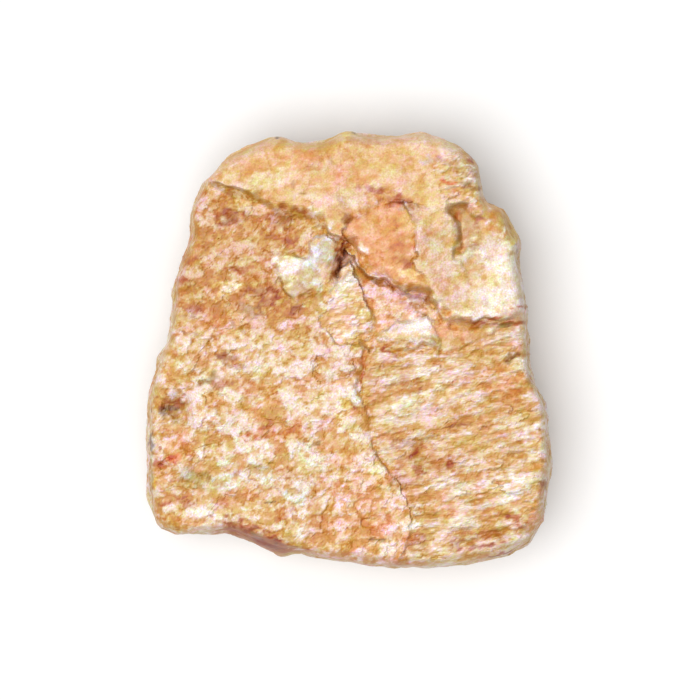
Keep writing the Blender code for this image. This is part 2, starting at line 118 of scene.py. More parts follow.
# Broken faces of the top. Each has its edge, its height at one spot, how much it rises per
# millimetre to the right and up, and how it broke. Later ones lie over earlier ones.
topFaces = {
    "upperRightFloor": {
        "edge": [(8.0, 28.0), (28.0, 28.0), (28.0, 1.0), (14.0, 1.0), (9.0, 3.5), (6.0, 8.0)],
        "spot": (15.0, 9.0), "height": 21.2, "rise": (-0.05, -0.03), "blend": 1.5, "skin": "smooth",
    },
    "upperLeftFace": {
        "edge": [(-23.0, 20.6), (-16.6, 19.3), (-11.4, 17.5), (-5.6, 15.6), (-0.5, 12.5), (-0.5, 8.5),
                 (-2.2, 5.6), (-0.5, 2.2), (-3.5, 0.6), (-6.5, 2.8), (-10.0, 1.0), (-13.5, 3.2),
                 (-17.0, 1.4), (-24.0, 3.4)],
        "spot": (-11.0, 11.0), "height": 20.3, "rise": (0.13, -0.07), "blend": 0.7, "skin": "blocky",
    },
    "fibrousPlane": {
        "edge": [(1.5, -0.3), (5.9, 0.7), (11.6, 0.5), (15.1, 1.3), (20.8, 2.8), (26.0, 2.2), (26.0, -28.0),
                 (5.3, -28.0), (6.4, -22.5), (7.0, -19.7), (5.9, -16.2), (3.7, -13.7), (2.9, -11.6),
                 (2.0, -8.7), (1.5, -5.3)],
        "spot": (13.0, -12.0), "height": 21.2, "rise": (-0.07, 0.03), "blend": 0.5, "skin": "fibrous",
    },
    "blockyFoot": {
        "edge": [(-1.0, -14.8), (2.9, -11.6), (3.7, -13.7), (5.9, -16.2), (7.0, -19.7), (6.4, -22.5),
                 (5.3, -28.0), (-3.3, -28.0), (-2.5, -19.7)],
        "spot": (2.0, -20.0), "height": 21.9, "rise": (-0.02, 0.08), "blend": 0.5, "skin": "blocky",
    },
    "upperBand": {
        "edge": [(-20.0, 18.9), (-16.6, 19.3), (-11.4, 17.5), (-5.6, 15.6), (-0.5, 12.5), (0.3, 15.4),
                 (5.9, 16.6), (10.5, 15.8), (17.4, 15.5), (20.8, 28.6), (-20.0, 28.6)],
        "spot": (-3.0, 20.0), "height": 21.6, "rise": (0.03, -0.16), "blend": 0.4, "skin": "smooth",
    },
    "cornerKnob": {
        "edge": [(10.5, 27.5), (19.7, 27.5), (17.9, 16.4), (13.9, 15.8), (10.5, 16.4), (9.5, 19.4)],
        "spot": (13.0, 20.0), "height": 22.0, "rise": (-0.16, -0.05), "blend": 1.2, "skin": "fibrous",
    },
    "brownGap": {
        "edge": [(12.0, 16.0), (13.7, 16.3), (15.6, 14.6), (15.9, 12.4), (13.5, 9.8), (12.3, 10.6),
                 (11.8, 13.7)],
        "spot": (13.5, 13.0), "height": 21.0, "rise": (0.0, -0.06), "blend": 0.9, "skin": "smooth",
    },
    "rightKnob": {
        "edge": [(15.5, 17.7), (23.1, 17.7), (23.1, 10.9), (17.9, 11.2), (16.0, 12.5), (15.1, 14.8)],
        "spot": (18.0, 14.0), "height": 20.9, "rise": (-0.30, -0.10), "blend": 0.7, "skin": "smooth",
    },
    "pinkHollow": {
        "edge": [(-0.5, 10.8), (2.4, 8.9), (5.9, 7.0), (10.5, 5.6), (11.2, 3.3), (8.2, 2.6), (3.6, 2.0),
                 (2.4, -0.3), (-0.5, 2.2), (-2.0, 5.6)],
        "spot": (4.0, 5.0), "height": 20.5, "rise": (0.03, -0.06), "blend": 0.5, "skin": "blocky",
    },
    "whiteFace": {
        "edge": [(12.0, 9.6), (13.6, 11.9), (16.0, 12.6), (19.7, 11.4), (22.5, 5.6), (22.0, 4.3), (16.2, 3.7),
                 (11.6, 3.0), (12.0, 6.0)],
        "spot": (17.0, 8.0), "height": 21.8, "rise": (-0.06, -0.10), "blend": 0.4, "skin": "smooth",
    },
    "orangeBlock": {
        "edge": [(0.3, 15.5), (3.6, 16.4), (6.4, 16.4), (7.5, 14.1), (7.7, 10.0), (10.5, 5.6), (8.2, 6.1),
                 (5.9, 7.0), (2.4, 8.9), (0.1, 11.4), (-0.6, 13.5)],
        "spot": (4.0, 11.0), "height": 22.3, "rise": (0.04, -0.05), "blend": 0.5, "skin": "smooth",
    },
    "paleRib": {
        "edge": [(6.6, 16.4), (10.5, 16.2), (12.2, 14.3), (12.5, 10.0), (13.9, 5.6), (13.0, 3.4), (11.2, 3.3),
                 (9.5, 5.9), (7.7, 10.0), (7.5, 14.1)],
        "spot": (9.5, 10.0), "height": 22.9, "rise": (-0.20, -0.02), "blend": 0.35, "skin": "smooth",
    },
    "belly": {
        "edge": [(9.3, 3.1), (12.8, 3.2), (17.4, 3.4), (16.2, 1.6), (13.0, 0.1), (10.5, -0.1), (9.1, 1.3)],
        "spot": (13.0, 1.5), "height": 21.6, "rise": (0.0, 0.0), "blend": 0.6, "skin": "smooth",
    },
    "whiteBlade": {
        "edge": [(3.1, 1.7), (5.3, 3.1), (8.9, 3.6), (9.7, 1.3), (7.0, 0.5), (4.1, 0.9)],
        "spot": (6.0, 2.0), "height": 21.9, "rise": (0.0, -0.10), "blend": 0.35, "skin": "smooth",
    },
    "fanBlade": {
        "edge": [(0.1, 9.8), (1.7, 7.5), (2.6, 4.5), (2.0, 1.5), (-0.8, 0.3), (-3.1, 2.6), (-2.1, 6.1),
                 (-0.9, 8.2)],
        "spot": (0.0, 4.0), "height": 21.5, "rise": (-0.05, 0.05), "blend": 0.4, "skin": "fibrous",
    },
    "quartzPlate": {
        "edge": [(-8.6, 10.2), (-5.6, 10.9), (-3.5, 10.0), (-3.3, 6.9), (-5.6, 6.0), (-7.8, 6.8)],
        "spot": (-6.0, 8.5), "height": 21.7, "rise": (0.08, -0.05), "blend": 0.35, "skin": "smooth",
    },
    "quartzTooth": {
        "edge": [(-4.3, 12.5), (-2.2, 13.0), (-0.7, 11.6), (-1.5, 8.5), (-3.6, 6.6), (-3.9, 10.0)],
        "spot": (-2.5, 10.0), "height": 22.1, "rise": (-0.10, 0.04), "blend": 0.35, "skin": "smooth",
    },
    "brownLip": {
        "edge": [(-13.5, -20.6), (-10.0, -21.6), (-6.8, -22.4), (-4.3, -23.6), (-5.0, -28.0), (-15.0, -28.0)],
        "spot": (-9.0, -21.8), "height": 19.5, "rise": (0.10, 1.35), "blend": 0.4, "skin": "smooth",
    },
}
groundFace = {"spot": (-10.0, -8.0), "height": 21.2, "rise": (0.10, 0.02)}

# Cracks and crevices of the top: the line, the half width and the depth.
crevices = {
    "deepPit": {"line": [(-0.1, 11.7), (-0.3, 10.0), (-1.2, 7.7)], "width": 0.75, "depth": 2.6},
    "underBlock": {
        "line": [(0.1, 11.2), (2.6, 8.9), (5.9, 7.0), (8.7, 5.9), (10.8, 4.6)],
        "width": 0.55, "depth": 1.2,
    },
    "underWhiteFace": {
        "line": [(11.8, 2.9), (15.1, 3.0), (17.6, 3.4), (20.6, 4.2)],
        "width": 0.5, "depth": 1.3,
    },
    "underBelly": {
        "line": [(10.5, -0.2), (13.0, 0.0), (16.2, 1.5), (18.1, 2.6), (20.6, 3.2)],
        "width": 0.4, "depth": 0.6,
    },
    "underBlade": {"line": [(3.1, 0.6), (4.8, 0.2), (6.8, -0.3), (9.1, 0.1)], "width": 0.5, "depth": 1.1},
    "split": {"line": [(1.8, -0.1), (1.5, -2.6), (0.9, -3.8), (1.4, -5.2)], "width": 0.5, "depth": 1.0},
    "longCrack": {"line": [(1.6, -5.2), (2.2, -8.7), (3.1, -11.6), (4.0, -13.7)], "width": 0.4, "depth": 0.5},
    "gapEdge": {"line": [(12.5, 10.8), (11.9, 13.5), (12.4, 15.8)], "width": 0.5, "depth": 0.4},
    "sliverGap": {"line": [(12.8, -22.4), (17.9, -20.6), (21.5, -20.0)], "width": 0.5, "depth": 0.7},
}

# Rounded lumps of the top: the middle, the half length and half width, the turn and the height.
lumps = {
    "orangeNodule": {"middle": (-4.5, 21.2), "half": (2.4, 1.5), "turn": -0.1, "height": 0.8},
    "pinkLens": {"middle": (-1.6, 16.4), "half": (2.0, 1.2), "turn": -0.4, "height": 0.6},
    "brownLens": {"middle": (4.3, 16.9), "half": (1.7, 0.9), "turn": -0.2, "height": -0.7},
    "pinkLump": {"middle": (-15.8, -7.5), "half": (3.0, 1.5), "turn": 0.1, "height": 0.7},
    "darkPocket": {"middle": (-19.9, -7.0), "half": (2.0, 1.8), "turn": 0.2, "height": -0.9},
    "redCrystal": {"middle": (-19.5, -13.2), "half": (1.9, 2.0), "turn": 0.3, "height": 0.7},
    "brownPocket": {"middle": (9.0, -11.6), "half": (2.2, 1.4), "turn": 0.2, "height": -0.5},
    "whiteBlock": {"middle": (-6.4, -19.2), "half": (1.3, 1.8), "turn": 0.0, "height": 0.5},
    "splinterPatch": {"middle": (20.0, -15.5), "half": (2.6, 1.4), "turn": 0.2, "height": 0.5},
}


# How each kind of break looks up close: facets for cleavage blocks, ridges for fibres.
relief = {
    "grainTurn": 10.0,         # degrees, uphill to the right
    "blockLength": 3.4,
    "blockWidth": 2.3,
    "blockTilt": 0.34,
    "blockStep": 0.22,
    "blockSeam": 0.45,         # how softly one block runs into the next
    "fibreLength": 5.0,
    "fibreWidth": 1.3,
    "fibreHeight": 0.45,
    "smoothLumpSize": 3.6,
    "smoothLumpHeight": 0.30,
}

# The next sizes down, only here and not in the solid: length, width, lean, step and bulge.
facets = {
    "grains": {"length": 1.35, "width": 1.0, "tilt": 0.24, "step": 0.09, "bulge": 0.05, "layer": 12.5},
    "crumbs": {"length": 0.62, "width": 0.50, "tilt": 0.17, "step": 0.03, "bulge": 0.012, "layer": 23.5},
    "splinters": {"length": 3.4, "width": 0.60, "tilt": 0.20, "step": 0.06, "bulge": 0.025, "layer": 31.5},
    "slivers": {"length": 1.5, "width": 0.34, "tilt": 0.14, "step": 0.02, "bulge": 0.01, "layer": 43.5},
}

# Thin pale flakes that lie over richer stone: size along and across the grain, how much of the
# face they cover, how softly they end and how high they stand.
flakes = {
    "broad": {"length": 3.4, "width": 2.6, "cover": 0.50, "edge": 0.10, "height": 0.12, "layer": 2.5},
    "middle": {"length": 1.7, "width": 1.3, "cover": 0.45, "edge": 0.12, "height": 0.07, "layer": 9.5},
    "small": {"length": 0.85, "width": 0.65, "cover": 0.42, "edge": 0.16, "height": 0.04, "layer": 17.5},
}
flakeShare = {"blocky": 1.0, "fibrous": 0.7, "smooth": 0.35}
fibrousStretch = (1.15, 0.75)   # flakes of the fibrous faces are longer and narrower


sides = {
    "splinterLength": 8.0,
    "splinterWidth": 3.3,
    "splinterHeight": 0.5,
    "blockSize": 6.5,
    "blockHeight": 0.9,
    "top": 21.0,
    "fade": 4.0,
    "restFade": 2.5,
    "fineLength": 2.6,
    "fineWidth": 0.8,
    "fineHeight": 0.16,
}


# along and across the crystals, which run slightly uphill to the right
grainAlong = Vector((0.985, 0.174, 0.0))
grainAcross = Vector((-0.174, 0.985, 0.0))


def distanceToLine(x, y, line, closed=False):
    nearest = np.full(x.shape, 1.0e9)
    ends = line[1:] + line[:1] if closed else line[1:]
    for (startX, startY), (endX, endY) in zip(line, ends):
        alongX, alongY = endX - startX, endY - startY
        share = ((x - startX) * alongX + (y - startY) * alongY) / (alongX ** 2 + alongY ** 2)
        share = np.clip(share, 0.0, 1.0)
        nearest = np.minimum(nearest, np.hypot(x - startX - share * alongX, y - startY - share * alongY))
    return nearest


def depthInside(x, y, edge):
    # distance inside the edge, negative outside it
    inside = np.zeros(x.shape, dtype=bool)
    for (startX, startY), (endX, endY) in zip(edge, edge[1:] + edge[:1]):
        if startY == endY:
            continue
        spans = (startY > y) != (endY > y)
        inside ^= spans & (x < startX + (y - startY) * (endX - startX) / (endY - startY))
    gap = distanceToLine(x, y, edge, closed=True)
    return np.where(inside, gap, -gap)


def smoothStep(low, high, value):
    share = np.clip((value - low) / (high - low), 0.0, 1.0)
    return share * share * (3.0 - 2.0 * share)


def planeHeight(face, x, y):
    spotX, spotY = face["spot"]
    riseX, riseY = face["rise"]
    return face["height"] + (x - spotX) * riseX + (y - spotY) * riseY


def lumpShape(x, y, middle, half, turn):
    # squared distance from the middle of an oval, 1 on its edge
    fromX, fromY = x - middle[0], y - middle[1]
    along = (fromX * math.cos(turn) + fromY * math.sin(turn)) / half[0]
    across = (fromY * math.cos(turn) - fromX * math.sin(turn)) / half[1]
    return along ** 2 + across ** 2


def topHeight(x, y, softness=1.0, creviceShare=1.0):
    height = planeHeight(groundFace, x, y)
    skins = {"blocky": np.ones(x.shape), "fibrous": np.zeros(x.shape), "smooth": np.zeros(x.shape)}
    for face in topFaces.values():
        half = face["blend"] * softness / 2.0
        cover = smoothStep(-half, half, depthInside(x, y, face["edge"]))
        height = height + (planeHeight(face, x, y) - height) * cover
        for skin in skins:
            skins[skin] = skins[skin] * (1.0 - cover) + cover * float(skin == face["skin"])
    for crevice in crevices.values():
        gap = distanceToLine(x, y, crevice["line"])
        height = height - creviceShare * crevice["depth"] * np.exp(-((gap / crevice["width"]) ** 2))
    for lump in lumps.values():
        shape = lumpShape(x, y, lump["middle"], lump["half"], lump["turn"])
        height = height + lump["height"] * np.exp(-shape)
    return height, skins


def wandering(places, size, amount, offset):
    shift = Vector((offset, offset * 0.7, offset * 1.3))
    return amount * np.array([noise.noise(Vector(place) / size + shift) for place in places])


def wanderedPlaces(places, level):
    # where each place falls once the edges of the breaks have wandered
    size, amount = stone["wanderLength"], stone["wander"]
    x = places[:, 0] + wandering(level, size, amount, 11.0)
    y = places[:, 1] + wandering(level, size, amount, 47.0)
    return x, y


def cellLevel(scaled, middle, length, width, tilt, step):
    # height of one leaning cell over a place
    seed = middle * 5.3
    leanX = noise.noise(seed)
    leanY = noise.noise(seed + Vector((31.0, 0.0, 0.0)))
    lift = noise.noise(seed + Vector((0.0, 57.0, 0.0)))
    away = scaled - middle
    return tilt * (away.x * leanX * length + away.y * leanY * width) + step * lift


def blockRelief(place, seam=0.0):
    length, width = relief["blockLength"], relief["blockWidth"]
    scaled = Vector((place.dot(grainAlong) / length, place.dot(grainAcross) / width, 0.5))
    distances, middles = noise.voronoi(scaled)
    level = cellLevel(scaled, middles[0], length, width, relief["blockTilt"], relief["blockStep"])
    gap = distances[1] - distances[0]
    if gap < seam:
        share = 0.5 - 0.5 * gap / seam
        beside = cellLevel(scaled, middles[1], length, width, relief["blockTilt"], relief["blockStep"])
        level += (beside - level) * share
    return level


def fibreRelief(place):
    along = place.dot(grainAlong) / relief["fibreLength"]
    across = place.dot(grainAcross) / relief["fibreWidth"]
    scaled = Vector((along, across, 3.7))
    return relief["fibreHeight"] * (0.5 - abs(noise.noise(scaled)) - abs(noise.noise(scaled * 2.1)) * 0.5)


def smoothRelief(place):
    size = relief["smoothLumpSize"]
    return relief["smoothLumpHeight"] * noise.noise(Vector((place.x / size, place.y / size, 8.1)))


def facetRelief(place, kind):
    # the highest of the cells nearby: flat facets that meet in ridges and valleys
    length, width = kind["length"], kind["width"]
    scaled = Vector((place.dot(grainAlong) / length, place.dot(grainAcross) / width, kind["layer"]))
    distances, middles = noise.voronoi(scaled)
    highest = -1.0
    for distance, middle in zip(distances[:3], middles[:3]):
        level = cellLevel(scaled, middle, length, width, kind["tilt"], kind["step"])
        level -= kind["bulge"] * distance
        highest = max(highest, level)
    return highest


def flakeCover(place, kind, fibrous):
    # 1 on a flake, 0 off it, with lobed edges
    stretch = fibrousStretch if fibrous else (1.0, 1.0)
    scaled = Vector((
        place.dot(grainAlong) / kind["length"] / stretch[0],
        place.dot(grainAcross) / kind["width"] / stretch[1],
        kind["layer"] + place.z / kind["width"],
    ))
    value = noise.fractal(scaled, 0.75, 2.2, 4) + kind["cover"] - 0.5
    share = min(1.0, max(0.0, 0.5 + value / kind["edge"] / 2.0))
    return share * share * (3.0 - 2.0 * share)


def flakeLayers(places, fibrous):
    return {
        name: np.array([flakeCover(Vector(place), kind, soft > 0.5) for place, soft in zip(places, fibrous)])
        for name, kind in flakes.items()
    }


def readPlaces(mesh):
    places = np.empty(len(mesh.vertices) * 3)
    mesh.vertices.foreach_get("co", places)
    return places.reshape(-1, 3) / mm


def writePlaces(mesh, places):
    mesh.vertices.foreach_set("co", (places * mm).ravel())
    mesh.update()


def readNormals(mesh):
    normals = np.empty(len(mesh.vertices) * 3)
    mesh.vertex_normals.foreach_get("vector", normals)
    return normals.reshape(-1, 3)


def shapeBlank():
    blank = bmesh.new()
    firstHeight, firstWidth = stone["levels"][0]
    ring = [blank.verts.new((x * firstWidth, y * firstWidth, firstHeight)) for x, y in stone["outline"]]
    cap = blank.faces.new(ring)
    widthBelow = firstWidth
    for height, width in stone["levels"][1:]:
        pulled = bmesh.ops.extrude_face_region(blank, geom=[cap])
        raised = [item for item in pulled["geom"] if isinstance(item, bmesh.types.BMVert)]
        cap = next(item for item in pulled["geom"] if isinstance(item, bmesh.types.BMFace))
        for corner in raised:
            corner.co = Vector((corner.co.x * width / widthBelow, corner.co.y * width / widthBelow, height))
        widthBelow = width
    bottom = [edge for edge in blank.edges if edge.is_boundary]
    bmesh.ops.holes_fill(blank, edges=bottom, sides=0)
    bmesh.ops.recalc_face_normals(blank, faces=blank.faces[:])
    bmesh.ops.scale(blank, vec=Vector((mm, mm, mm)), verts=blank.verts[:])
    mesh = bpy.data.meshes.new("bustamiteStone")
    blank.to_mesh(mesh)
    blank.free()
    return mesh


def remesh(piece, voxel):
    step = piece.modifiers.new("evenSkin", "REMESH")
    step.mode = "VOXEL"
    step.voxel_size = voxel * mm
    view = bpy.context.evaluated_depsgraph_get()
    made = bpy.data.meshes.new_from_object(piece.evaluated_get(view))
    piece.modifiers.clear()
    piece.data = made


def keepMainBody(piece):
    body = bmesh.new()
    body.from_mesh(piece.data)
    unseen = set(body.verts)
    groups = []
    while unseen:
        groupNow = [unseen.pop()]
        for corner in groupNow:
            for edge in corner.link_edges:
                far = edge.other_vert(corner)
                if far in unseen:
                    unseen.discard(far)
                    groupNow.append(far)
        groups.append(groupNow)
    groups.sort(key=len)
    crumbs = [corner for small in groups[:-1] for corner in small]
    bmesh.ops.delete(body, geom=crumbs, context="VERTS")
    body.to_mesh(piece.data)
    body.free()


def breakUnderside(piece):
    places = readPlaces(piece.data)
    for flat in list(undersideBreaks.values()) * 2:
        facing = np.array(Vector(flat["faces"]).normalized())
        past = np.maximum((places - np.array(flat["at"])) @ facing, 0.0)
        places -= past[:, None] * facing
    writePlaces(piece.data, places)


def pressTop(piece):
    places = readPlaces(piece.data)
    x, y = wanderedPlaces(places, places)
    height, skins = topHeight(x, y)
    for number, place in enumerate(places):
        spot = Vector((place[0], place[1], 0.0))
        height[number] += skins["blocky"][number] * blockRelief(spot)
        height[number] += skins["fibrous"][number] * fibreRelief(spot)
        height[number] += skins["smooth"][number] * smoothRelief(spot)
    places[:, 2] *= height / stone["blankHeight"]
    writePlaces(piece.data, places)


def roughenSides(piece):
    places, normals = readPlaces(piece.data), readNormals(piece.data)
    for number, normal in enumerate(normals):
        place = Vector(places[number])
        grained = Vector((
            place.dot(grainAlong) / sides["splinterLength"],
            place.dot(grainAcross) / sides["splinterWidth"],
            place.z / sides["splinterWidth"],
        ))
        splinter = 1.0 - 2.0 * abs(noise.noise(grained))
        blocky = noise.voronoi(place / sides["blockSize"])[0][0]
        fine = Vector((
            place.dot(grainAlong) / sides["fineLength"],
            place.dot(grainAcross) / sides["fineWidth"],
            place.z / sides["fineWidth"],
        ))
        side = 1.0 - max(0.0, normal[2])
        side *= min(1.0, max(0.0, (sides["top"] - place.z) / sides["fade"]))
        push = side * (sides["splinterHeight"] * (splinter - 0.8) + sides["blockHeight"] * (blocky - 0.5))
        fineRidge = 0.4 - abs(noise.noise(fine)) - 0.6 * abs(noise.noise(fine * 2.3))
        push += side * sides["fineHeight"] * fineRidge
        push *= min(1.0, max(0.0, (place.z - stone["restDepth"]) / sides["restFade"]))
        places[number] += normal * push
    places[:, 2] = np.maximum(0.0, places[:, 2] - stone["restDepth"])
    writePlaces(piece.data, places)


def splitTopFaces(piece):
    # twice as many points on the best face
    body = bmesh.new()
    body.from_mesh(piece.data)
    lowest = stone["topLevel"] * mm
    seen = [face for face in body.faces if face.normal.z > 0.25 and face.calc_center_median().z > lowest]
    edges = list({edge for face in seen for edge in face.edges})
    bmesh.ops.subdivide_edges(body, edges=edges, cuts=1, use_grid_fill=True)
    body.to_mesh(piece.data)
    body.free()


def carveTop(piece):
    # the broken top again, crisper and with the small grains, wherever it is clear of the rim
    places, normals = readPlaces(piece.data), readNormals(piece.data)
    onTop = (normals[:, 2] > 0.1) & (places[:, 2] > stone["topLevel"])
    chosen = np.nonzero(onTop)[0]
    top = places[chosen]
    level = top.copy()
    level[:, 2] = stone["blankHeight"]
    x, y = wanderedPlaces(top, level)
    x += wandering(level, stone["fineWanderLength"], stone["fineWander"], 5.0)
    y += wandering(level, stone["fineWanderLength"], stone["fineWander"], 83.0)
    along = wandering(level, stone["softLength"], 1.0, 29.0)
    softness = stone["softness"] * np.exp(along * stone["softRange"])
    height, skins = topHeight(x, y, softness, stone["fineCrevices"])
    inside = smoothStep(*stone["rimFade"], depthInside(top[:, 0], top[:, 1], stone["outline"]))
    share = sum(skins[skin] * flakeShare[skin] for skin in flakeShare)
    level[:, 2] = 0.0
    fine = np.zeros(len(chosen))
    for name, cover in flakeLayers(level, skins["fibrous"]).items():
        fine += flakes[name]["height"] * (cover - 0.5) * share
    for number, place in enumerate(level):
        spot = Vector(place)
        blocky, fibrous, smooth = (skins[skin][number] for skin in ("blocky", "fibrous", "smooth"))
        if blocky > 0.01:
            height[number] += blocky * blockRelief(spot, relief["blockSeam"])
            small = facetRelief(spot, facets["grains"]) + facetRelief(spot, facets["crumbs"])
            fine[number] += blocky * small
        if fibrous > 0.01:
            height[number] += fibrous * fibreRelief(spot)
            small = facetRelief(spot, facets["splinters"]) + facetRelief(spot, facets["slivers"])
            fine[number] += fibrous * small
        if smooth > 0.01:
            height[number] += smooth * smoothRelief(spot)
            fine[number] += smooth * 0.4 * facetRelief(spot, facets["grains"])
    height -= stone["restDepth"]
    facing = np.clip(normals[chosen, 2] * 2.0, 0.0, 1.0)
    places[chosen, 2] = top[:, 2] * (1.0 - inside) + height * inside + fine * facing
    writePlaces(piece.data, places)


def buildStone():
    piece = bpy.data.objects.new("bustamiteStone", shapeBlank())
    bpy.context.scene.collection.objects.link(piece)
    remesh(piece, stone["firstVoxel"])
    breakUnderside(piece)
    pressTop(piece)
    remesh(piece, stone["secondVoxel"])
    keepMainBody(piece)
    roughenSides(piece)
    print("stone roughed out,", len(piece.data.polygons), "faces")
    splitTopFaces(piece)
    carveTop(piece)
    triangles = sum(len(face.vertices) - 2 for face in piece.data.polygons)
    print("best face carved,", triangles, "triangles")
    return piece


stonePiece = buildStone()

# Colours are 0 to 255 as the eye sees them.
palette = {
    "cream": (244, 226, 196), "creamPink": (242, 218, 190), "chalk": (248, 236, 212),
    "chalkPink": (246, 228, 212), "white": (252, 244, 226), "paleYellow": (244, 222, 172),
    "palePink": (238, 205, 178), "pinkBeige": (222, 176, 136), "peachPink": (236, 196, 160),
    "rosePeach": (222, 176, 142), "orangePeach": (228, 172, 118), "orange": (218, 152, 84),
    "amberPeach": (226, 164, 100), "deepOrange": (206, 132, 54), "ochre": (206, 148, 78),
    "ochreYellow": (218, 166, 74), "ochreBeige": (216, 172, 114), "ochreRose": (200, 146, 96),
    "rust": (182, 100, 42), "redBrown": (172, 98, 50), "roseRust": (186, 112, 74),
    "roseBrown": (188, 130, 92), "brown": (172, 118, 62), "lipShadeRust": (148, 78, 36),
    # the pit's rust is a rust colour that also serves as painted shade in pits and cracks, and the pit's
    # darkest colour is painted shade
    "inkBrown": (104, 84, 62), "rustAndCreviceShade": (176, 82, 18), "pitShadeDark": (120, 50, 8),
    "brightYellow": (234, 196, 88), "sulphur": (240, 206, 66), "redOrange": (222, 112, 44),
    "greyPink": (206, 180, 170), "greyBeige": (208, 178, 148), "greyCream": (224, 206, 182),
    "greyRose": (196, 156, 132), "greyWhite": (228, 220, 208), "greenWhite": (236, 226, 198),
    "greenGrey": (192, 170, 118), "olive": (156, 122, 54), "oliveBeige": (204, 164, 116),
    "beige": (228, 196, 154), "beigeYellow": (226, 188, 130), "peachYellow": (234, 194, 142),
    "quartz": (222, 212, 206),
}

# The colour of each broken face before its spots go on.
faceColours = {
    "ground": "beige",
    "upperLeftFace": "ochreBeige",
    "fibrousPlane": "beige",
    "blockyFoot": "peachPink",
    "upperBand": "beigeYellow",
    "cornerKnob": "beigeYellow",
    "brownGap": "oliveBeige",
    "rightKnob": "ochreYellow",
    "pinkHollow": "peachPink",
    "whiteFace": "greyCream",
    "orangeBlock": "amberPeach",
    "paleRib": "beige",
    "belly": "ochreBeige",
    "whiteBlade": "greyCream",
    "fanBlade": "creamPink",
    "quartzPlate": "greyBeige",
    "quartzTooth": "beige",
    # painted shade: the lip turns down away from the light and is painted dark rust
    "brownLip": "rust",
    "upperRightFloor": "beige",
}

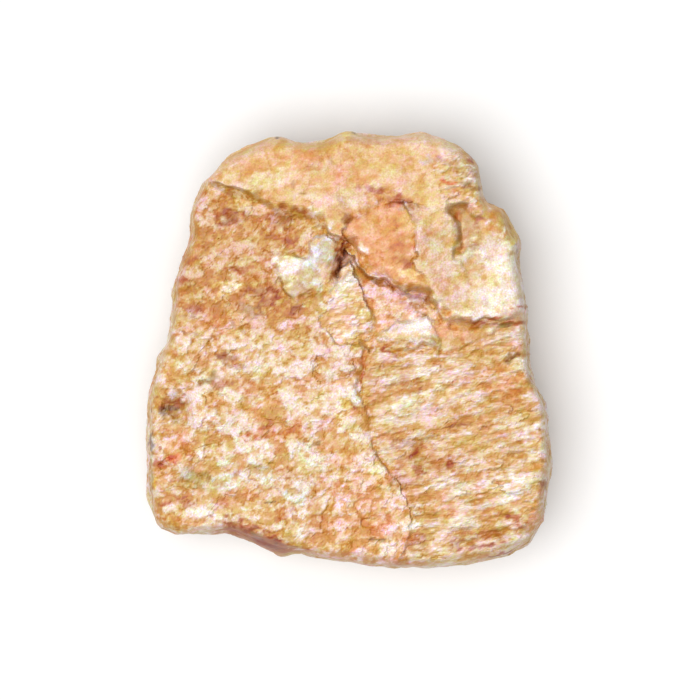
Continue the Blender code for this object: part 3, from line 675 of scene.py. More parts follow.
# Spots of colour: middle x and y, half length, half width, turn in degrees, colour and strength.
spots = {
    "bandPeach": (-10.3, 21.5, 4.14, 1.15, 12, "peachPink", 0.7),
    "bandYellowEdge": (-14.8, 21.0, 2.53, 0.35, 40, "ochreYellow", 0.6),
    "orangeNodule": (-5.3, 21.3, 1.84, 1.27, 0, "orangePeach", 0.9),
    "noduleShade": (-4.4, 20.6, 0.81, 0.58, 0, "deepOrange", 0.6),
    "streakedOrange": (-1.0, 19.4, 2.07, 1.73, -10, "orangePeach", 0.75),
    "bandCream": (-9.9, 19.2, 1.04, 0.92, 0, "cream", 0.7),
    "bandCreamTall": (-7.5, 19.4, 0.81, 1.5, 0, "creamPink", 0.7),
    "yellowDash": (-11.7, 20.0, 0.69, 0.25, 0, "ochreYellow", 0.9),
    "bandSpeck": (-5.3, 17.6, 0.35, 0.14, 0, "brown", 0.9),
    "bandSpeckTall": (-6.4, 18.6, 0.14, 0.46, 0, "brown", 0.6),
    "pinkLens": (-3.1, 16.7, 2.07, 1.04, -10, "palePink", 0.8),
    "faceYellow": (-12.1, 17.2, 1.73, 0.81, -12, "ochreYellow", 0.75),
    "facePinkEdge": (-16.8, 15.8, 0.92, 2.19, 0, "pinkBeige", 0.7),
    "faceBrown": (-13.6, 15.1, 1.5, 0.81, 10, "redBrown", 0.75),
    "faceRose": (-7.6, 14.7, 1.5, 1.38, 0, "roseBrown", 0.7),
    "faceOchre": (-7.8, 12.7, 1.61, 0.92, -20, "ochre", 0.8),
    "faceOchreDark": (-6.9, 12.3, 0.69, 0.46, 0, "rust", 0.6),
    "faceTan": (-12.8, 11.0, 1.5, 1.15, 0, "ochre", 0.7),
    "faceRust": (-12.3, 9.0, 1.04, 0.46, -10, "rust", 0.7),
    "edgeOchre": (-17.9, 10.0, 1.27, 0.58, 0, "ochre", 0.9),
    "edgeRust": (-18.9, 7.8, 0.92, 0.46, 0, "rust", 0.65),
    "facePale": (-14.1, 6.7, 1.15, 0.69, 20, "paleYellow", 0.75),
    "faceRoseLow": (-10.0, 6.4, 1.5, 0.58, 5, "roseBrown", 0.8),
    "faceRustLow": (-9.1, 5.5, 0.81, 0.58, 0, "rust", 0.8),
    "brownMottle": (-11.5, 4.3, 1.5, 0.69, -10, "brown", 0.7),
    "purpleMottle": (-17.6, 4.4, 1.04, 0.69, 0, "roseBrown", 0.8),
    "peachLump": (-14.4, 3.0, 2.19, 1.15, 10, "orangePeach", 0.55),
    "milkyPatch": (-6.7, 9.3, 1.61, 1.38, 0, "chalk", 0.9),
    "quartzPlate": (-4.4, 9.0, 0.98, 1.73, 8, "quartz", 0.95),
    "quartzTooth": (-2.8, 11.4, 1.09, 1.61, -12, "quartz", 0.95),
    "quartzBlade": (-3.4, 6.9, 0.41, 1.38, 5, "quartz", 0.9),
    "quartzLine": (-5.3, 7.1, 0.92, 0.15, -45, "brown", 0.8),
    "quartzMoss": (-2.4, 7.0, 0.4, 1.15, 0, "ochreYellow", 0.8),
    "belowQuartz": (-3.9, 4.9, 1.38, 0.92, 0, "greenWhite", 0.7),
    "belowQuartzDark": (-6.1, 4.5, 0.92, 0.46, 10, "brown", 0.7),
    # painted shade in the deep pit, darkest where the crevice goes deepest
    "pitShadeOrange": (-0.7, 10.8, 0.63, 1.61, -12, "rustAndCreviceShade", 1.0),
    "pitShadeCore": (-1.0, 10.0, 0.3, 0.92, -15, "pitShadeDark", 0.8),
    "pitShadeTail": (-1.6, 8.6, 0.35, 0.92, -18, "rust", 0.8),
    "topYellow": (-0.3, 24.5, 0.92, 0.46, 0, "brightYellow", 0.9),
    "topSpeckLeft": (-8.2, 24.2, 0.21, 0.17, 0, "inkBrown", 0.9),
    "topSpeckRight": (0.6, 24.6, 0.18, 0.16, 0, "inkBrown", 0.8),
    "topOchre": (1.5, 23.5, 2.07, 0.58, 0, "ochre", 0.6),
    "domePink": (7.4, 23.5, 2.42, 1.38, 0, "palePink", 0.7),
    "domeOrange": (9.3, 23.2, 0.81, 0.46, 0, "orangePeach", 0.8),
    "domeGrey": (9.0, 21.5, 0.92, 0.58, 0, "greyPink", 0.7),
    "cornerBrown": (13.1, 22.7, 1.15, 0.58, -40, "ochre", 0.7),
    "cornerRust": (13.9, 21.6, 0.35, 0.29, 0, "rust", 0.9),
    "cornerGrey": (13.1, 20.2, 1.73, 1.04, -15, "greyBeige", 0.7),
    "cornerStreakOne": (13.5, 20.8, 0.81, 0.14, -10, "chalk", 0.9),
    "cornerStreakTwo": (13.3, 19.2, 0.92, 0.15, -20, "chalk", 0.9),
    "cornerStreakThree": (13.9, 17.0, 0.92, 0.16, -22, "chalk", 0.9),
    "cornerRed": (11.3, 18.9, 0.63, 0.28, -10, "redOrange", 0.95),
    "cornerBrownLow": (13.9, 18.3, 0.92, 0.35, -15, "brown", 0.7),
    "cornerPale": (10.5, 20.5, 1.38, 0.35, -15, "chalkPink", 0.7),
    "bandOrange": (1.4, 19.2, 1.61, 0.69, -5, "orange", 0.8),
    "bandRust": (2.5, 18.1, 1.27, 0.4, -10, "roseRust", 0.8),
    "brownLens": (5.4, 16.8, 1.61, 0.63, -12, "roseRust", 0.75),
    "lensGrey": (6.3, 16.0, 0.46, 0.35, 0, "greyPink", 0.7),
    "pinkShelf": (0.6, 16.8, 1.61, 0.92, 0, "palePink", 0.7),
    "blockCrease": (-0.2, 14.7, 0.4, 0.81, -35, "brown", 0.8),
    "blockPeach": (2.8, 14.4, 1.61, 1.04, 0, "orangePeach", 0.7),
    "blockMiddle": (3.2, 12.1, 2.53, 1.96, -20, "amberPeach", 0.8),
    "blockYellow": (5.4, 14.3, 0.92, 0.92, 0, "ochreYellow", 0.6),
    "blockDeep": (6.0, 11.7, 1.04, 1.96, 10, "deepOrange", 0.75),
    "blockShade": (6.7, 9.5, 0.69, 0.46, 0, "rust", 0.8),
    "blockGlint": (1.5, 11.5, 0.21, 0.81, 35, "chalk", 0.9),
    "blockStrip": (6.7, 8.6, 1.61, 0.52, -17, "paleYellow", 0.9),
    "hollowRose": (4.3, 6.9, 3.22, 1.27, -20, "rosePeach", 0.7),
    "hollowPurple": (7.8, 5.5, 1.27, 0.92, -20, "greyRose", 0.75),
    "hollowOlive": (8.3, 4.1, 0.69, 0.25, 0, "olive", 0.8),
    "hollowYellow": (9.5, 4.9, 0.69, 0.92, 0, "ochreYellow", 0.55),
    "fanPale": (0.2, 7.5, 1.27, 2.76, 5, "creamPink", 0.75),
    "ribPale": (10.1, 15.3, 1.38, 1.5, 0, "peachYellow", 0.7),
    "ribOrange": (8.5, 10.9, 0.58, 1.04, 0, "orangePeach", 0.7),
    "ribCluster": (10.2, 12.5, 1.15, 0.92, 0, "greyCream", 0.7),
    "ribOchre": (11.7, 11.8, 0.58, 0.58, 0, "ochreYellow", 0.7),
    "ribFoot": (10.5, 7.7, 1.5, 2.07, 25, "peachPink", 0.6),
    "gapOrange": (12.4, 15.1, 0.4, 1.04, -15, "deepOrange", 0.9),
    "gapBrown": (13.1, 13.0, 1.38, 1.5, 0, "oliveBeige", 0.85),
    "gapRust": (14.3, 11.6, 0.58, 0.69, 0, "roseBrown", 0.8),
    "gapPurple": (15.1, 14.9, 0.63, 0.4, 20, "roseRust", 0.9),
    "kneePale": (13.7, 15.9, 0.81, 0.58, 0, "peachPink", 0.7),
    "knobBeige": (17.1, 14.4, 1.38, 1.61, -20, "beigeYellow", 0.7),
    "knobYellow": (18.7, 12.9, 0.52, 1.15, -15, "brightYellow", 0.8),
    "knobSulphur": (18.9, 12.2, 0.4, 0.46, 0, "sulphur", 0.9),
    "knobSpeck": (19.1, 11.4, 0.21, 0.46, -10, "inkBrown", 0.95),
    "chalkFace": (17.0, 7.9, 2.76, 4.14, 0, "chalk", 0.9),
    "chalkBeige": (13.3, 7.5, 1.38, 2.3, 0, "beige", 0.6),
    "chalkOchre": (14.8, 9.2, 1.04, 0.69, -25, "ochreBeige", 0.7),
    "chalkTop": (15.9, 12.2, 1.04, 0.81, 0, "beige", 0.7),
    "chalkFoot": (15.3, 4.3, 3.22, 0.58, 8, "white", 0.9),
    # painted shade: the brown line in the crevice under the white face's ledge
    "ledgeShadeOne": (13.0, 3.4, 1.04, 0.15, 0, "brown", 0.8),
    "ledgeShadeTwo": (14.4, 3.0, 1.15, 0.18, 4, "roseRust", 0.9),
    "ledgeShadeThree": (16.7, 3.5, 1.04, 0.14, 8, "rust", 0.9),
    "loopPale": (19.1, 4.0, 0.92, 0.58, 0, "peachPink", 0.8),
    "loopTop": (19.7, 4.8, 0.92, 0.15, 8, "rustAndCreviceShade", 0.9),
    "loopBottom": (19.0, 3.0, 1.5, 0.16, 8, "rust", 0.85),
    "loopOlive": (17.5, 2.6, 0.69, 0.18, 15, "olive", 0.8),
    "bellyOrange": (10.8, 2.5, 1.73, 0.92, -5, "amberPeach", 0.9),
    "bellyOrangeRight": (12.9, 2.1, 1.15, 0.69, 10, "orangePeach", 0.7),
    "bladeWhite": (7.7, 2.6, 1.38, 0.81, 0, "chalk", 0.9),
    "bladeWhiteLow": (5.4, 1.7, 1.38, 0.46, 5, "chalkPink", 0.85),
    "bladeSlit": (4.4, -0.3, 1.04, 0.25, -20, "rustAndCreviceShade", 0.9),
    "bladeSlitYellow": (5.5, -0.2, 0.81, 0.35, 10, "ochreYellow", 0.85),
    "leftOchre": (-21.2, -0.8, 1.38, 0.69, 0, "ochre", 0.7),
    "leftPeach": (-20.0, -2.6, 1.73, 0.92, -10, "peachYellow", 0.6),
    "bandBrownLeft": (-13.7, -1.0, 1.38, 0.4, -15, "brown", 0.8),
    "bandRoseLeft": (-12.3, -2.0, 1.04, 0.35, -10, "roseBrown", 0.6),
    "pinkHeart": (-2.3, -1.5, 1.96, 1.15, 0, "rosePeach", 0.6),
    "olivePit": (-16.0, -3.5, 0.92, 0.58, 10, "olive", 0.75),
    "ochrePit": (-14.8, -4.0, 1.38, 0.52, 0, "rust", 0.7),
    "pocketBrown": (-19.8, -6.7, 1.5, 1.38, 0, "brown", 0.7),
    "pocketGrey": (-20.0, -5.4, 0.69, 0.52, 20, "greyWhite", 0.9),
    "pocketDark": (-20.8, -7.0, 1.04, 0.29, 10, "inkBrown", 0.5),
    "edgeInk": (-22.5, -10.7, 0.32, 0.92, 0, "inkBrown", 0.6),
    "lumpPink": (-16.3, -5.8, 1.27, 0.81, 20, "creamPink", 0.75),
    "lumpWhite": (-16.8, -7.8, 1.61, 0.75, -10, "chalkPink", 0.8),
    "mottleOrangeOne": (-9.5, -4.9, 1.38, 0.69, 10, "orange", 0.6),
    "mottleOrangeTwo": (-9.2, -6.1, 1.61, 0.46, 5, "orange", 0.6),
    "peachSmooth": (-10.8, -7.2, 1.61, 0.92, 10, "peachYellow", 0.7),
    "amberSpotOne": (-9.5, -9.4, 1.38, 0.92, 25, "deepOrange", 0.85),
    "amberSpotTwo": (-6.4, -9.4, 0.92, 0.81, 10, "orange", 0.85),
    "amberBridge": (-7.9, -10.0, 0.81, 0.46, 10, "orangePeach", 0.8),
    "redCrystal": (-19.4, -11.6, 1.84, 1.61, 0, "orangePeach", 0.9),
    "redCrystalCore": (-20.0, -12.4, 0.69, 0.58, 0, "redOrange", 0.8),
    "redCrystalEdge": (-16.9, -11.3, 0.23, 0.92, 0, "chalkPink", 0.9),
    "redSpot": (-21.6, -11.3, 0.29, 0.35, 0, "rustAndCreviceShade", 0.9),
    "redLower": (-21.9, -13.0, 0.69, 0.35, 0, "rust", 0.8),
    "whitePatchOne": (-11.0, -12.1, 1.73, 0.92, 10, "greenWhite", 0.85),
    "whitePatchTwo": (-10.7, -13.7, 1.96, 0.92, 0, "greyWhite", 0.85),
    "greyDot": (-12.8, -14.0, 0.4, 0.35, 0, "greyPink", 0.9),
    "greyDotTwo": (-10.3, -13.5, 0.52, 0.4, 0, "greyPink", 0.6),
    "whitePatchThree": (-15.0, -15.3, 1.84, 1.04, 10, "greyWhite", 0.8),
    "greenGrey": (-17.6, -14.6, 1.61, 0.81, 0, "greenGrey", 0.8),
    "cornerBlock": (-20.8, -15.4, 1.15, 1.04, 0, "peachPink", 0.8),
    "cornerBlockRim": (-22.1, -15.4, 0.18, 1.15, 0, "sulphur", 0.7),
    "greenEdge": (-22.7, -15.5, 0.29, 2.07, 0, "greenGrey", 0.8),
    "rustDots": (-18.7, -17.5, 1.27, 0.4, -10, "rust", 0.7),
    "rustDotsLeft": (-21.2, -17.8, 0.69, 0.35, 0, "rust", 0.7),
    "whiteRidge": (-16.4, -18.7, 1.5, 0.46, -18, "chalk", 0.85),
    "footPeach": (-19.1, -19.8, 2.07, 0.92, -5, "orangePeach", 0.6),
    "centreRose": (-11.5, -16.4, 0.92, 0.92, 0, "orangePeach", 0.7),
    "centreYellow": (-10.6, -17.0, 0.35, 0.35, 0, "ochreYellow", 0.8),
    "roseLow": (-14.4, -17.5, 1.04, 0.58, 0, "rosePeach", 0.7),
    "creamLow": (-10.7, -18.6, 1.96, 0.69, -5, "cream", 0.7),
    # painted shade on the lip that turns down away from the light
    "lipPaintedShade": (-10.0, -21.7, 4.14, 0.92, -25, "rust", 0.9),
    "lipPaintedShadeDark": (-9.4, -22.3, 1.84, 0.46, -30, "lipShadeRust", 0.8),
    "lipOlive": (-10.6, -20.9, 0.81, 0.35, -10, "olive", 0.6),
    "whiteCentre": (-5.9, -12.4, 1.84, 1.04, 10, "greenWhite", 0.75),
    "whiteCentreLow": (-5.9, -16.7, 1.15, 1.38, 0, "greyWhite", 0.8),
    "whiteBlock": (-5.8, -20.0, 1.04, 1.5, 0, "chalkPink", 0.9),
    "ochreCentre": (-7.1, -14.0, 1.04, 0.46, 5, "ochre", 0.8),
    "brownCentre": (-7.9, -19.0, 0.81, 0.69, 0, "ochre", 0.6),
    "peachRight": (-0.7, -12.1, 1.38, 1.61, 0, "orangePeach", 0.6),
    "pinkRight": (-0.7, -16.2, 1.61, 0.92, 0, "palePink", 0.6),
    "roseStrip": (-3.8, -16.0, 0.69, 1.27, 0, "rosePeach", 0.6),
    "ochreStrip": (-3.6, -19.2, 0.92, 1.84, 0, "ochre", 0.6),
    "footOutline": (0.0, -22.1, 0.81, 0.69, 0, "ochreYellow", 0.5),
    "slitCentre": (-3.7, -10.6, 0.63, 0.23, 15, "olive", 0.8),
    "slitLow": (-9.1, -17.5, 0.52, 0.17, 10, "olive", 0.9),
    "paleRidge": (-0.9, -6.4, 0.92, 2.19, 0, "paleYellow", 0.8),
    # painted shade along the split crack
    "crackShadeOne": (1.4, -3.5, 0.3, 0.63, -10, "rustAndCreviceShade", 0.9),
    "crackShadeTwo": (0.7, -4.0, 0.46, 0.23, 0, "rust", 0.9),
    "crackShadeThree": (0.6, -6.6, 0.32, 0.3, 0, "rust", 0.8),
    "crackBlade": (0.9, -5.2, 0.46, 1.04, 0, "greyWhite", 0.6),
    "planePink": (4.6, -2.0, 2.53, 1.15, 8, "rosePeach", 0.6),
    "planeStreakOne": (2.9, -3.3, 1.38, 0.35, 5, "ochre", 0.8),
    "planeStreakTwo": (6.6, -3.9, 2.07, 0.41, 8, "ochreRose", 0.8),
    "planeStreakThree": (7.9, -4.7, 0.81, 0.16, 8, "brown", 0.7),
    "planePaleBox": (8.6, -2.0, 0.92, 0.92, 0, "cream", 0.8),
    "planeOrange": (17.7, -3.8, 1.84, 1.5, 0, "orangePeach", 0.75),
    "planeOrangeLow": (18.7, -5.1, 1.15, 0.92, 0, "orange", 0.45),
    "planeOlive": (18.3, -0.9, 0.81, 0.58, 0, "olive", 0.85),
    "planeTan": (16.3, -0.9, 1.04, 0.81, 0, "ochreBeige", 0.8),
    "slitOne": (12.5, -8.7, 1.27, 0.15, 3, "brown", 0.9),
    "slitTwo": (15.1, -9.0, 0.81, 0.15, 5, "brown", 0.9),
    "slitThree": (16.6, -8.6, 1.15, 0.17, 8, "ochre", 0.9),
    "planePale": (9.4, -5.4, 3.45, 0.92, 12, "cream", 0.6),
    "planePaleTwo": (13.5, -9.8, 2.65, 0.92, 8, "chalkPink", 0.6),
    "clusterBase": (8.6, -12.9, 2.53, 1.38, 5, "ochreRose", 0.6),
    "clusterOne": (7.4, -11.8, 0.52, 0.29, 5, "rust", 0.9),
    "clusterTwo": (8.3, -13.9, 0.75, 0.32, -10, "rustAndCreviceShade", 0.85),
    "clusterThree": (11.5, -13.0, 0.4, 0.35, 0, "rust", 0.9),
    "clusterFour": (5.9, -10.6, 0.92, 0.4, 8, "brown", 0.6),
    "clusterFive": (9.4, -14.8, 0.35, 0.18, 0, "rust", 0.9),
    "clusterWhite": (9.7, -15.8, 1.61, 0.52, 5, "chalkPink", 0.8),
    "planeOchre": (5.8, -15.2, 1.38, 0.92, 0, "ochreRose", 0.7),
    "planeAmber": (11.5, -18.2, 1.96, 0.69, 5, "orangePeach", 0.8),
    "ringOchre": (19.1, -11.3, 1.38, 1.38, 0, "ochreBeige", 0.8),
    "edgePale": (21.6, -10.1, 1.15, 1.84, -15, "cream", 0.8),
    "edgeDot": (21.7, -9.2, 0.18, 0.18, 0, "brown", 0.9),
    "edgeOlive": (21.5, -13.5, 0.81, 0.35, 15, "ochreYellow", 0.8),
    "edgeRustRight": (22.1, -15.4, 0.58, 0.58, 0, "brown", 0.8),
    "splinterWhite": (18.3, -16.1, 2.88, 1.5, 5, "chalkPink", 0.8),
    "splinterBrown": (18.6, -19.1, 1.04, 0.28, -5, "rustAndCreviceShade", 0.8),
    "splinterBrownTwo": (19.4, -20.1, 0.58, 0.21, -10, "rust", 0.8),
    "cornerPeach": (21.5, -19.4, 1.38, 1.38, 0, "orangePeach", 0.8),
    "footBrown": (7.9, -21.6, 1.15, 1.04, 0, "ochreRose", 0.85),
    "footStep": (6.7, -19.9, 0.92, 0.69, -15, "cream", 0.9),
    "footPink": (10.2, -22.3, 0.92, 0.69, 0, "chalkPink", 0.7),
    "footPurple": (11.7, -22.2, 0.46, 0.69, 0, "roseBrown", 0.8),
    "barkArea": (15.9, -21.0, 2.42, 0.81, 8, "ochreRose", 0.7),
    "barkStreakOne": (15.1, -22.4, 1.96, 0.21, 8, "redBrown", 0.9),
    "barkStreakTwo": (17.2, -23.5, 1.73, 0.21, 10, "redBrown", 0.85),
    "bottomPeach": (13.0, -23.9, 2.3, 0.52, 0, "peachYellow", 0.8),
    "bottomBrown": (5.9, -24.3, 1.15, 0.58, 0, "ochre", 0.7),
    "footSlit": (3.0, -21.7, 1.38, 0.21, 3, "olive", 0.85),
    "footAmber": (2.2, -20.1, 1.61, 0.81, 0, "amberPeach", 0.7),
    "footCream": (3.0, -14.0, 1.15, 0.92, -30, "paleYellow", 0.8),
}

# How the colour wanders. Each swing is red, green and blue for one step of its noise.
mottle = {
    # from the richest stone to the palest, where 0 is the face's own colour
    "steps": (-2.2, -1.1, 0.0, 1.1, 2.2),
    "red": (-27.0, -11.0, 0.0, 8.0, 16.0),
    "green": (-56.0, -26.0, 0.0, 17.0, 33.0),
    "blue": (-104.0, -56.0, 0.0, 36.0, 64.0),
    "pinkSwing": (3.0, -5.0, 8.0),       # yellower to pinker
    "broadFlake": 0.60,
    "middleFlake": 0.85,
    "smallFlake": 0.75,
    "coarse": 0.30,
    "grain": 0.60,
    "crumb": 0.65,
    "hollow": 0.55,                      # painted shade: hollows are painted richer and darker, and rims paler as painted highlight
    "hollowDepth": 0.10,
    "hollowReach": 14,                   # rounds of smoothing that find the hollows
    "faceEdge": 1.6,                     # how wide the colour of one face runs into the next
    "faceReach": 10.0,                   # how far down the sides the colours of the faces go
    "ragged": 0.45,                      # how torn the edges of the spots are
    "spotReach": 7.0,                    # how far down the sides the spots go
}


def noiseField(places, lengths, layer):
    # one number a place, stretched along the grain, with a spread of about 1
    field = np.empty(len(places))
    for number, place in enumerate(places):
        spot = Vector(place)
        scaled = Vector((
            spot.dot(grainAlong) / lengths[0] + layer,
            spot.dot(grainAcross) / lengths[1],
            spot.z / lengths[2],
        ))
        field[number] = noise.noise(scaled)
    return field * 3.4


def cellField(places, kind, up):
    # one number for each cell of a facet layer
    field = np.empty(len(places))
    for number, place in enumerate(places):
        spot = Vector(place)
        scaled = Vector((
            spot.dot(grainAlong) / kind["length"],
            spot.dot(grainAcross) / kind["width"],
            kind["layer"] + up * spot.z / kind["width"],
        ))
        field[number] = noise.noise(noise.voronoi(scaled)[1][0] * 7.7)
    return field * 3.4


def hollowShadeAndRimHighlight(mesh, places):
    # how far each point lies below its surroundings, about 1 in a clear hollow; it sets the painted shade in
    # hollows and the painted highlight on rims
    ends = np.empty(len(mesh.edges) * 2, dtype=np.int64)
    mesh.edges.foreach_get("vertices", ends)
    ends = ends.reshape(-1, 2)
    count = np.bincount(ends.ravel(), minlength=len(places))
    level = places.copy()
    for _ in range(mottle["hollowReach"]):
        total = np.zeros_like(level)
        for axis in range(3):
            total[:, axis] = np.bincount(ends[:, 0], level[ends[:, 1], axis], len(places))
            total[:, axis] += np.bincount(ends[:, 1], level[ends[:, 0], axis], len(places))
        level = 0.4 * level + 0.6 * total / count[:, None]
    below = np.sum((level - places) * readNormals(mesh), axis=1)
    return np.clip(below / mottle["hollowDepth"], -1.6, 1.6)


def toLinear(colours):
    share = np.clip(colours / 255.0, 0.0, 1.0)
    return np.where(share <= 0.04045, share / 12.92, ((share + 0.055) / 1.055) ** 2.4)


def paintStone(piece):
    mesh = piece.data
    places = readPlaces(mesh)
    level = places.copy()
    level[:, 2] = stone["blankHeight"]
    x, y = wanderedPlaces(places, level)
    tear = noiseField(places, (0.9, 0.6, 0.8), 61.0)
    colours = np.tile(np.array(palette[faceColours["ground"]], dtype=float), (len(places), 1))
    count = len(places)
    skins = {"blocky": np.ones(count), "fibrous": np.zeros(count), "smooth": np.zeros(count)}
    low = sides["top"] - mottle["faceReach"]
    nearTop = smoothStep(low, low + mottle["faceReach"] * 0.67, places[:, 2])
    for name, face in topFaces.items():
        depth = depthInside(x, y, face["edge"])
        half = mottle["faceEdge"] / 2.0
        cover = smoothStep(-half, half, depth + tear * half * 0.6)
        colours += (np.array(palette[faceColours[name]]) - colours) * (cover * nearTop)[:, None]
        for skin in skins:
            skins[skin] = skins[skin] * (1.0 - cover) + cover * float(skin == face["skin"])
    reach = mottle["spotReach"]
    topness = smoothStep(sides["top"] - reach, sides["top"] - reach / 3.0, places[:, 2])
    tearX = places[:, 0] + wandering(level, 0.8, 0.35, 3.0)
    tearY = places[:, 1] + wandering(level, 0.8, 0.35, 19.0)
    for middleX, middleY, halfLength, halfWidth, turn, colour, strength in spots.values():
        half = (halfLength, halfWidth)
        ring = np.sqrt(lumpShape(tearX, tearY, (middleX, middleY), half, math.radians(turn)))
        torn = ring + tear * mottle["ragged"] * np.minimum(ring, 1.0)
        cover = strength * smoothStep(1.35, 0.65, torn) * topness
        colours += (np.array(palette[colour]) - colours) * cover[:, None]

    flat = places.copy()
    flat[:, 2] *= 1.0 - topness
    share = sum(skins[skin] * flakeShare[skin] for skin in flakeShare)
    pale = mottle["coarse"] * noiseField(places, (3.4, 2.2, 2.8), 0.0)
    for name, cover in flakeLayers(flat, skins["fibrous"]).items():
        pale += mottle[name + "Flake"] * (cover - 0.5) * 2.0 * share
    blocky, fibrous, smooth = skins["blocky"], skins["fibrous"], skins["smooth"]
    grain = cellField(flat, facets["grains"], 1.0) * (blocky + 0.5 * smooth)
    grain += cellField(flat, facets["splinters"], 1.0) * fibrous
    crumb = cellField(flat, facets["crumbs"], 1.0) * (blocky + 0.5 * smooth)
    crumb += cellField(flat, facets["slivers"], 1.0) * fibrous
    pale += mottle["grain"] * grain + mottle["crumb"] * crumb
    # painted shade in the hollows and painted highlight on the rims
    pale -= mottle["hollow"] * hollowShadeAndRimHighlight(mesh, places)
    pink = noiseField(places, (2.2, 1.5, 1.6), 71.0) + noiseField(places, (0.8, 0.5, 0.6), 89.0)
    for channel, name in enumerate(("red", "green", "blue")):
        colours[:, channel] += np.interp(pale, mottle["steps"], mottle[name])
    colours += pink[:, None] * np.array(mottle["pinkSwing"]) * 0.5
    colours = np.clip(colours, (95.0, 45.0, 12.0), (253.0, 248.0, 240.0))
    linear = np.ones((len(places), 4))
    linear[:, :3] = toLinear(colours)
    mesh.color_attributes.new("stoneColour", "FLOAT_COLOR", "POINT")
    mesh.attributes["stoneColour"].data.foreach_set("color", linear.ravel())
    for skin in ("fibrous", "smooth"):
        mesh.attributes.new(skin, "FLOAT", "POINT")
        mesh.attributes[skin].data.foreach_set("value", skins[skin])


paintStone(stonePiece)
print("stone painted,", len(spots), "spots")


finish = {
    "brightness": 0.75,        # the colours above are seen in the light, so the stone itself is darker
    "speckSize": 0.20,
    "speckStrength": 0.75,
    "hueSpeckSize": 0.24,
    "hueStrength": 0.9,
    "hairLength": 0.5,
    "hairWidth": 0.12,
    "roughness": (0.36, 0.72),
    "bumpHeight": 0.025,
    "glow": 0.15,              # how much light soaks in
    "glowReach": 0.6,
}


def link(tree, source, output, target, socket):
    tree.links.new(source.outputs[output], target.inputs[socket])


def attribute(tree, name):
    node = tree.nodes.new("ShaderNodeAttribute")
    node.attribute_name = name
    return node


def noiseTexture(tree, place, size, detail):
    node = tree.nodes.new("ShaderNodeTexNoise")
    node.inputs["Scale"].default_value = 1.0 / (size * mm)
    node.inputs["Detail"].default_value = detail
    link(tree, place, "Object", node, "Vector")
    return node


def ramp(tree, source, low, high, colours):
    node = tree.nodes.new("ShaderNodeValToRGB")
    for element, position, colour in zip(node.color_ramp.elements, (low, high), colours):
        element.position = position
        element.color = (*colour, 1.0)
    link(tree, source[0], source[1], node, "Fac")
    return node


def multiply(tree, first, second, strength):
    # Mix sockets come by number: 0 strength, 6 and 7 the two colours, 2 the result
    node = tree.nodes.new("ShaderNodeMix")
    node.data_type = "RGBA"
    node.blend_type = "MULTIPLY"
    node.inputs[0].default_value = strength
    tree.links.new(first, node.inputs[6])
    if second is not None:
        tree.links.new(second, node.inputs[7])
    return node


def stoneFinish():
    material = bpy.data.materials.new("bustamiteFinish")
    material.use_nodes = True
    tree = material.node_tree
    surface = tree.nodes["Principled BSDF"]
    surface.inputs["IOR"].default_value = 1.6
    surface.inputs["Subsurface Weight"].default_value = finish["glow"]
    surface.inputs["Subsurface Radius"].default_value = (1.0, 0.5, 0.22)
    surface.inputs["Subsurface Scale"].default_value = finish["glowReach"] * mm
    place = tree.nodes.new("ShaderNodeTexCoord")
    specks = noiseTexture(tree, place, finish["speckSize"], 3.0)
    hues = noiseTexture(tree, place, finish["hueSpeckSize"], 2.0)
    hues.noise_dimensions = "4D"
    hues.inputs["W"].default_value = 7.0

    grain = tree.nodes.new("ShaderNodeMapping")
    grain.vector_type = "TEXTURE"
    grain.inputs["Rotation"].default_value = (0.0, 0.0, math.radians(relief["grainTurn"]))
    grain.inputs["Scale"].default_value = [
        size * mm for size in (finish["hairLength"], finish["hairWidth"], finish["hairWidth"] * 2.0)]
    hair = tree.nodes.new("ShaderNodeTexNoise")
    hair.inputs["Scale"].default_value = 1.0
    hair.inputs["Detail"].default_value = 2.0
    link(tree, place, "Object", grain, "Vector")
    link(tree, grain, "Vector", hair, "Vector")

    which = tree.nodes.new("ShaderNodeMix")
    link(tree, attribute(tree, "fibrous"), "Fac", which, 0)
    link(tree, specks, "Fac", which, 2)
    link(tree, hair, "Fac", which, 3)

    # rich to pale: blue moves most, red least, as in the mottling above
    pale = ramp(tree, (which, 0), 0.30, 0.70, ((0.80, 0.64, 0.44), (1.12, 1.22, 1.40)))
    pink = ramp(tree, (hues, "Fac"), 0.34, 0.66, ((0.97, 1.07, 0.74), (1.04, 0.91, 1.22)))
    colour = attribute(tree, "stoneColour")
    tinted = multiply(tree, colour.outputs["Color"], pale.outputs["Color"], finish["speckStrength"])
    tinted = multiply(tree, tinted.outputs[2], pink.outputs["Color"], finish["hueStrength"])
    dimmed = multiply(tree, tinted.outputs[2], None, 1.0)
    dimmed.inputs[7].default_value = (finish["brightness"], finish["brightness"], finish["brightness"], 1.0)
    tree.links.new(dimmed.outputs[2], surface.inputs["Base Color"])

    shine = tree.nodes.new("ShaderNodeMapRange")
    shine.inputs["To Min"].default_value = finish["roughness"][0]
    shine.inputs["To Max"].default_value = finish["roughness"][1]
    link(tree, specks, "Fac", shine, "Value")
    link(tree, shine, "Result", surface, "Roughness")

    bump = tree.nodes.new("ShaderNodeBump")
    bump.inputs["Distance"].default_value = finish["bumpHeight"] * mm
    bump.inputs["Strength"].default_value = 0.6
    link(tree, which, 0, bump, "Height")
    link(tree, bump, "Normal", surface, "Normal")
    return material


stonePiece.data.materials.clear()
stonePiece.data.materials.append(stoneFinish())
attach(stonePiece, "root")
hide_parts("bustamite_stone")
print("stone finished")


floorSettings = {
    "half": 350.0,
    "cells": 24,
    "albedo": 0.92,
    "grainSize": 9.0,
}
light = {
    "worldGrey": 0.40,
    "softKeyStrength": 2.45,        # throws the faint shadow to the upper right
    "softKeyAngle": 34.0,
    "softKeyFrom": (-0.14, -0.09, 1.0),
    "modellingStrength": 1.35,       # shows the ledges, from the upper left
    "modellingAngle": 6.0,
    "modellingFrom": (-0.55, 0.85, 1.05),
}


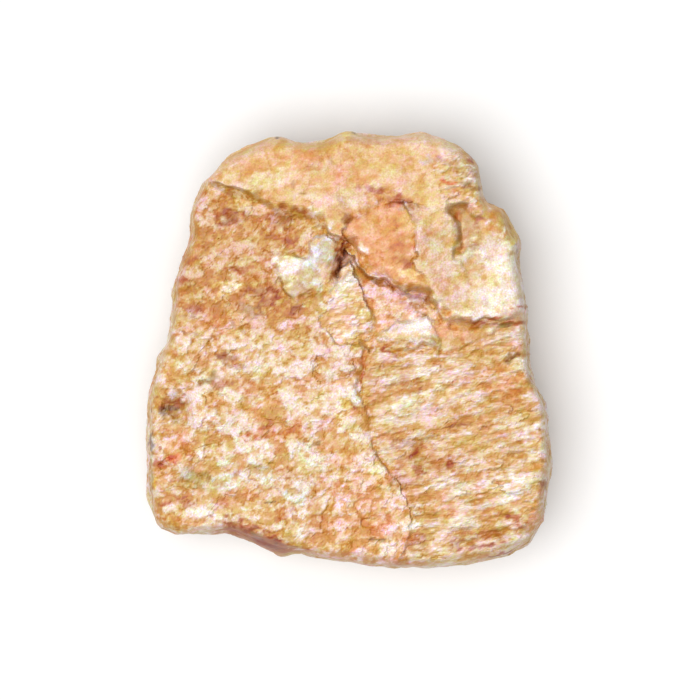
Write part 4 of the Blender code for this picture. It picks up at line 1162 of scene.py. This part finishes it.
def floorFinish():
    material = bpy.data.materials.new("paleFloor")
    material.use_nodes = True
    tree = material.node_tree
    surface = tree.nodes["Principled BSDF"]
    surface.inputs["Roughness"].default_value = 0.9
    surface.inputs["Specular IOR Level"].default_value = 0.1
    place = tree.nodes.new("ShaderNodeTexCoord")
    mottling = tree.nodes.new("ShaderNodeTexNoise")
    mottling.inputs["Scale"].default_value = 1.0 / (floorSettings["grainSize"] * mm)
    link(tree, place, "Object", mottling, "Vector")
    greys = tree.nodes.new("ShaderNodeValToRGB")
    for element, share in zip(greys.color_ramp.elements, (0.985, 1.0)):
        grey = floorSettings["albedo"] * share
        element.color = (grey, grey, grey, 1.0)
    link(tree, mottling, "Fac", greys, "Fac")
    link(tree, greys, "Color", surface, "Base Color")
    return material


def addFloor():
    ground = bmesh.new()
    cells = floorSettings["cells"]
    bmesh.ops.create_grid(ground, x_segments=cells, y_segments=cells, size=floorSettings["half"] * mm)
    mesh = bpy.data.meshes.new("paleFloor")
    ground.to_mesh(mesh)
    ground.free()
    piece = bpy.data.objects.new("paleFloor", mesh)
    mesh.materials.append(floorFinish())
    bpy.context.scene.collection.objects.link(piece)
    return piece


def addSun(name, comesFrom, strength, angle, lit=None):
    lamp = bpy.data.lights.new(name, "SUN")
    lamp.energy = strength
    lamp.angle = math.radians(angle)
    sun = bpy.data.objects.new(name, lamp)
    sun.rotation_euler = Vector(comesFrom).to_track_quat("Z", "Y").to_euler()
    sun.location = Vector(comesFrom) * 0.3
    bpy.context.scene.collection.objects.link(sun)
    if lit is not None:
        only = bpy.data.collections.new(name + "Only")
        only.objects.link(lit)
        sun.light_linking.receiver_collection = only


def addWorld():
    world = bpy.data.worlds.new("softRoom")
    world.use_nodes = True
    grey = light["worldGrey"]
    world.node_tree.nodes["Background"].inputs["Color"].default_value = (grey, grey, grey, 1.0)
    world.node_tree.nodes["Background"].inputs["Strength"].default_value = 1.0
    bpy.context.scene.world = world


addFloor()
addWorld()
addSun("softKey", light["softKeyFrom"], light["softKeyStrength"], light["softKeyAngle"])
addSun(
    "modelling", light["modellingFrom"], light["modellingStrength"], light["modellingAngle"], lit=stonePiece)
print("floor and light ready")
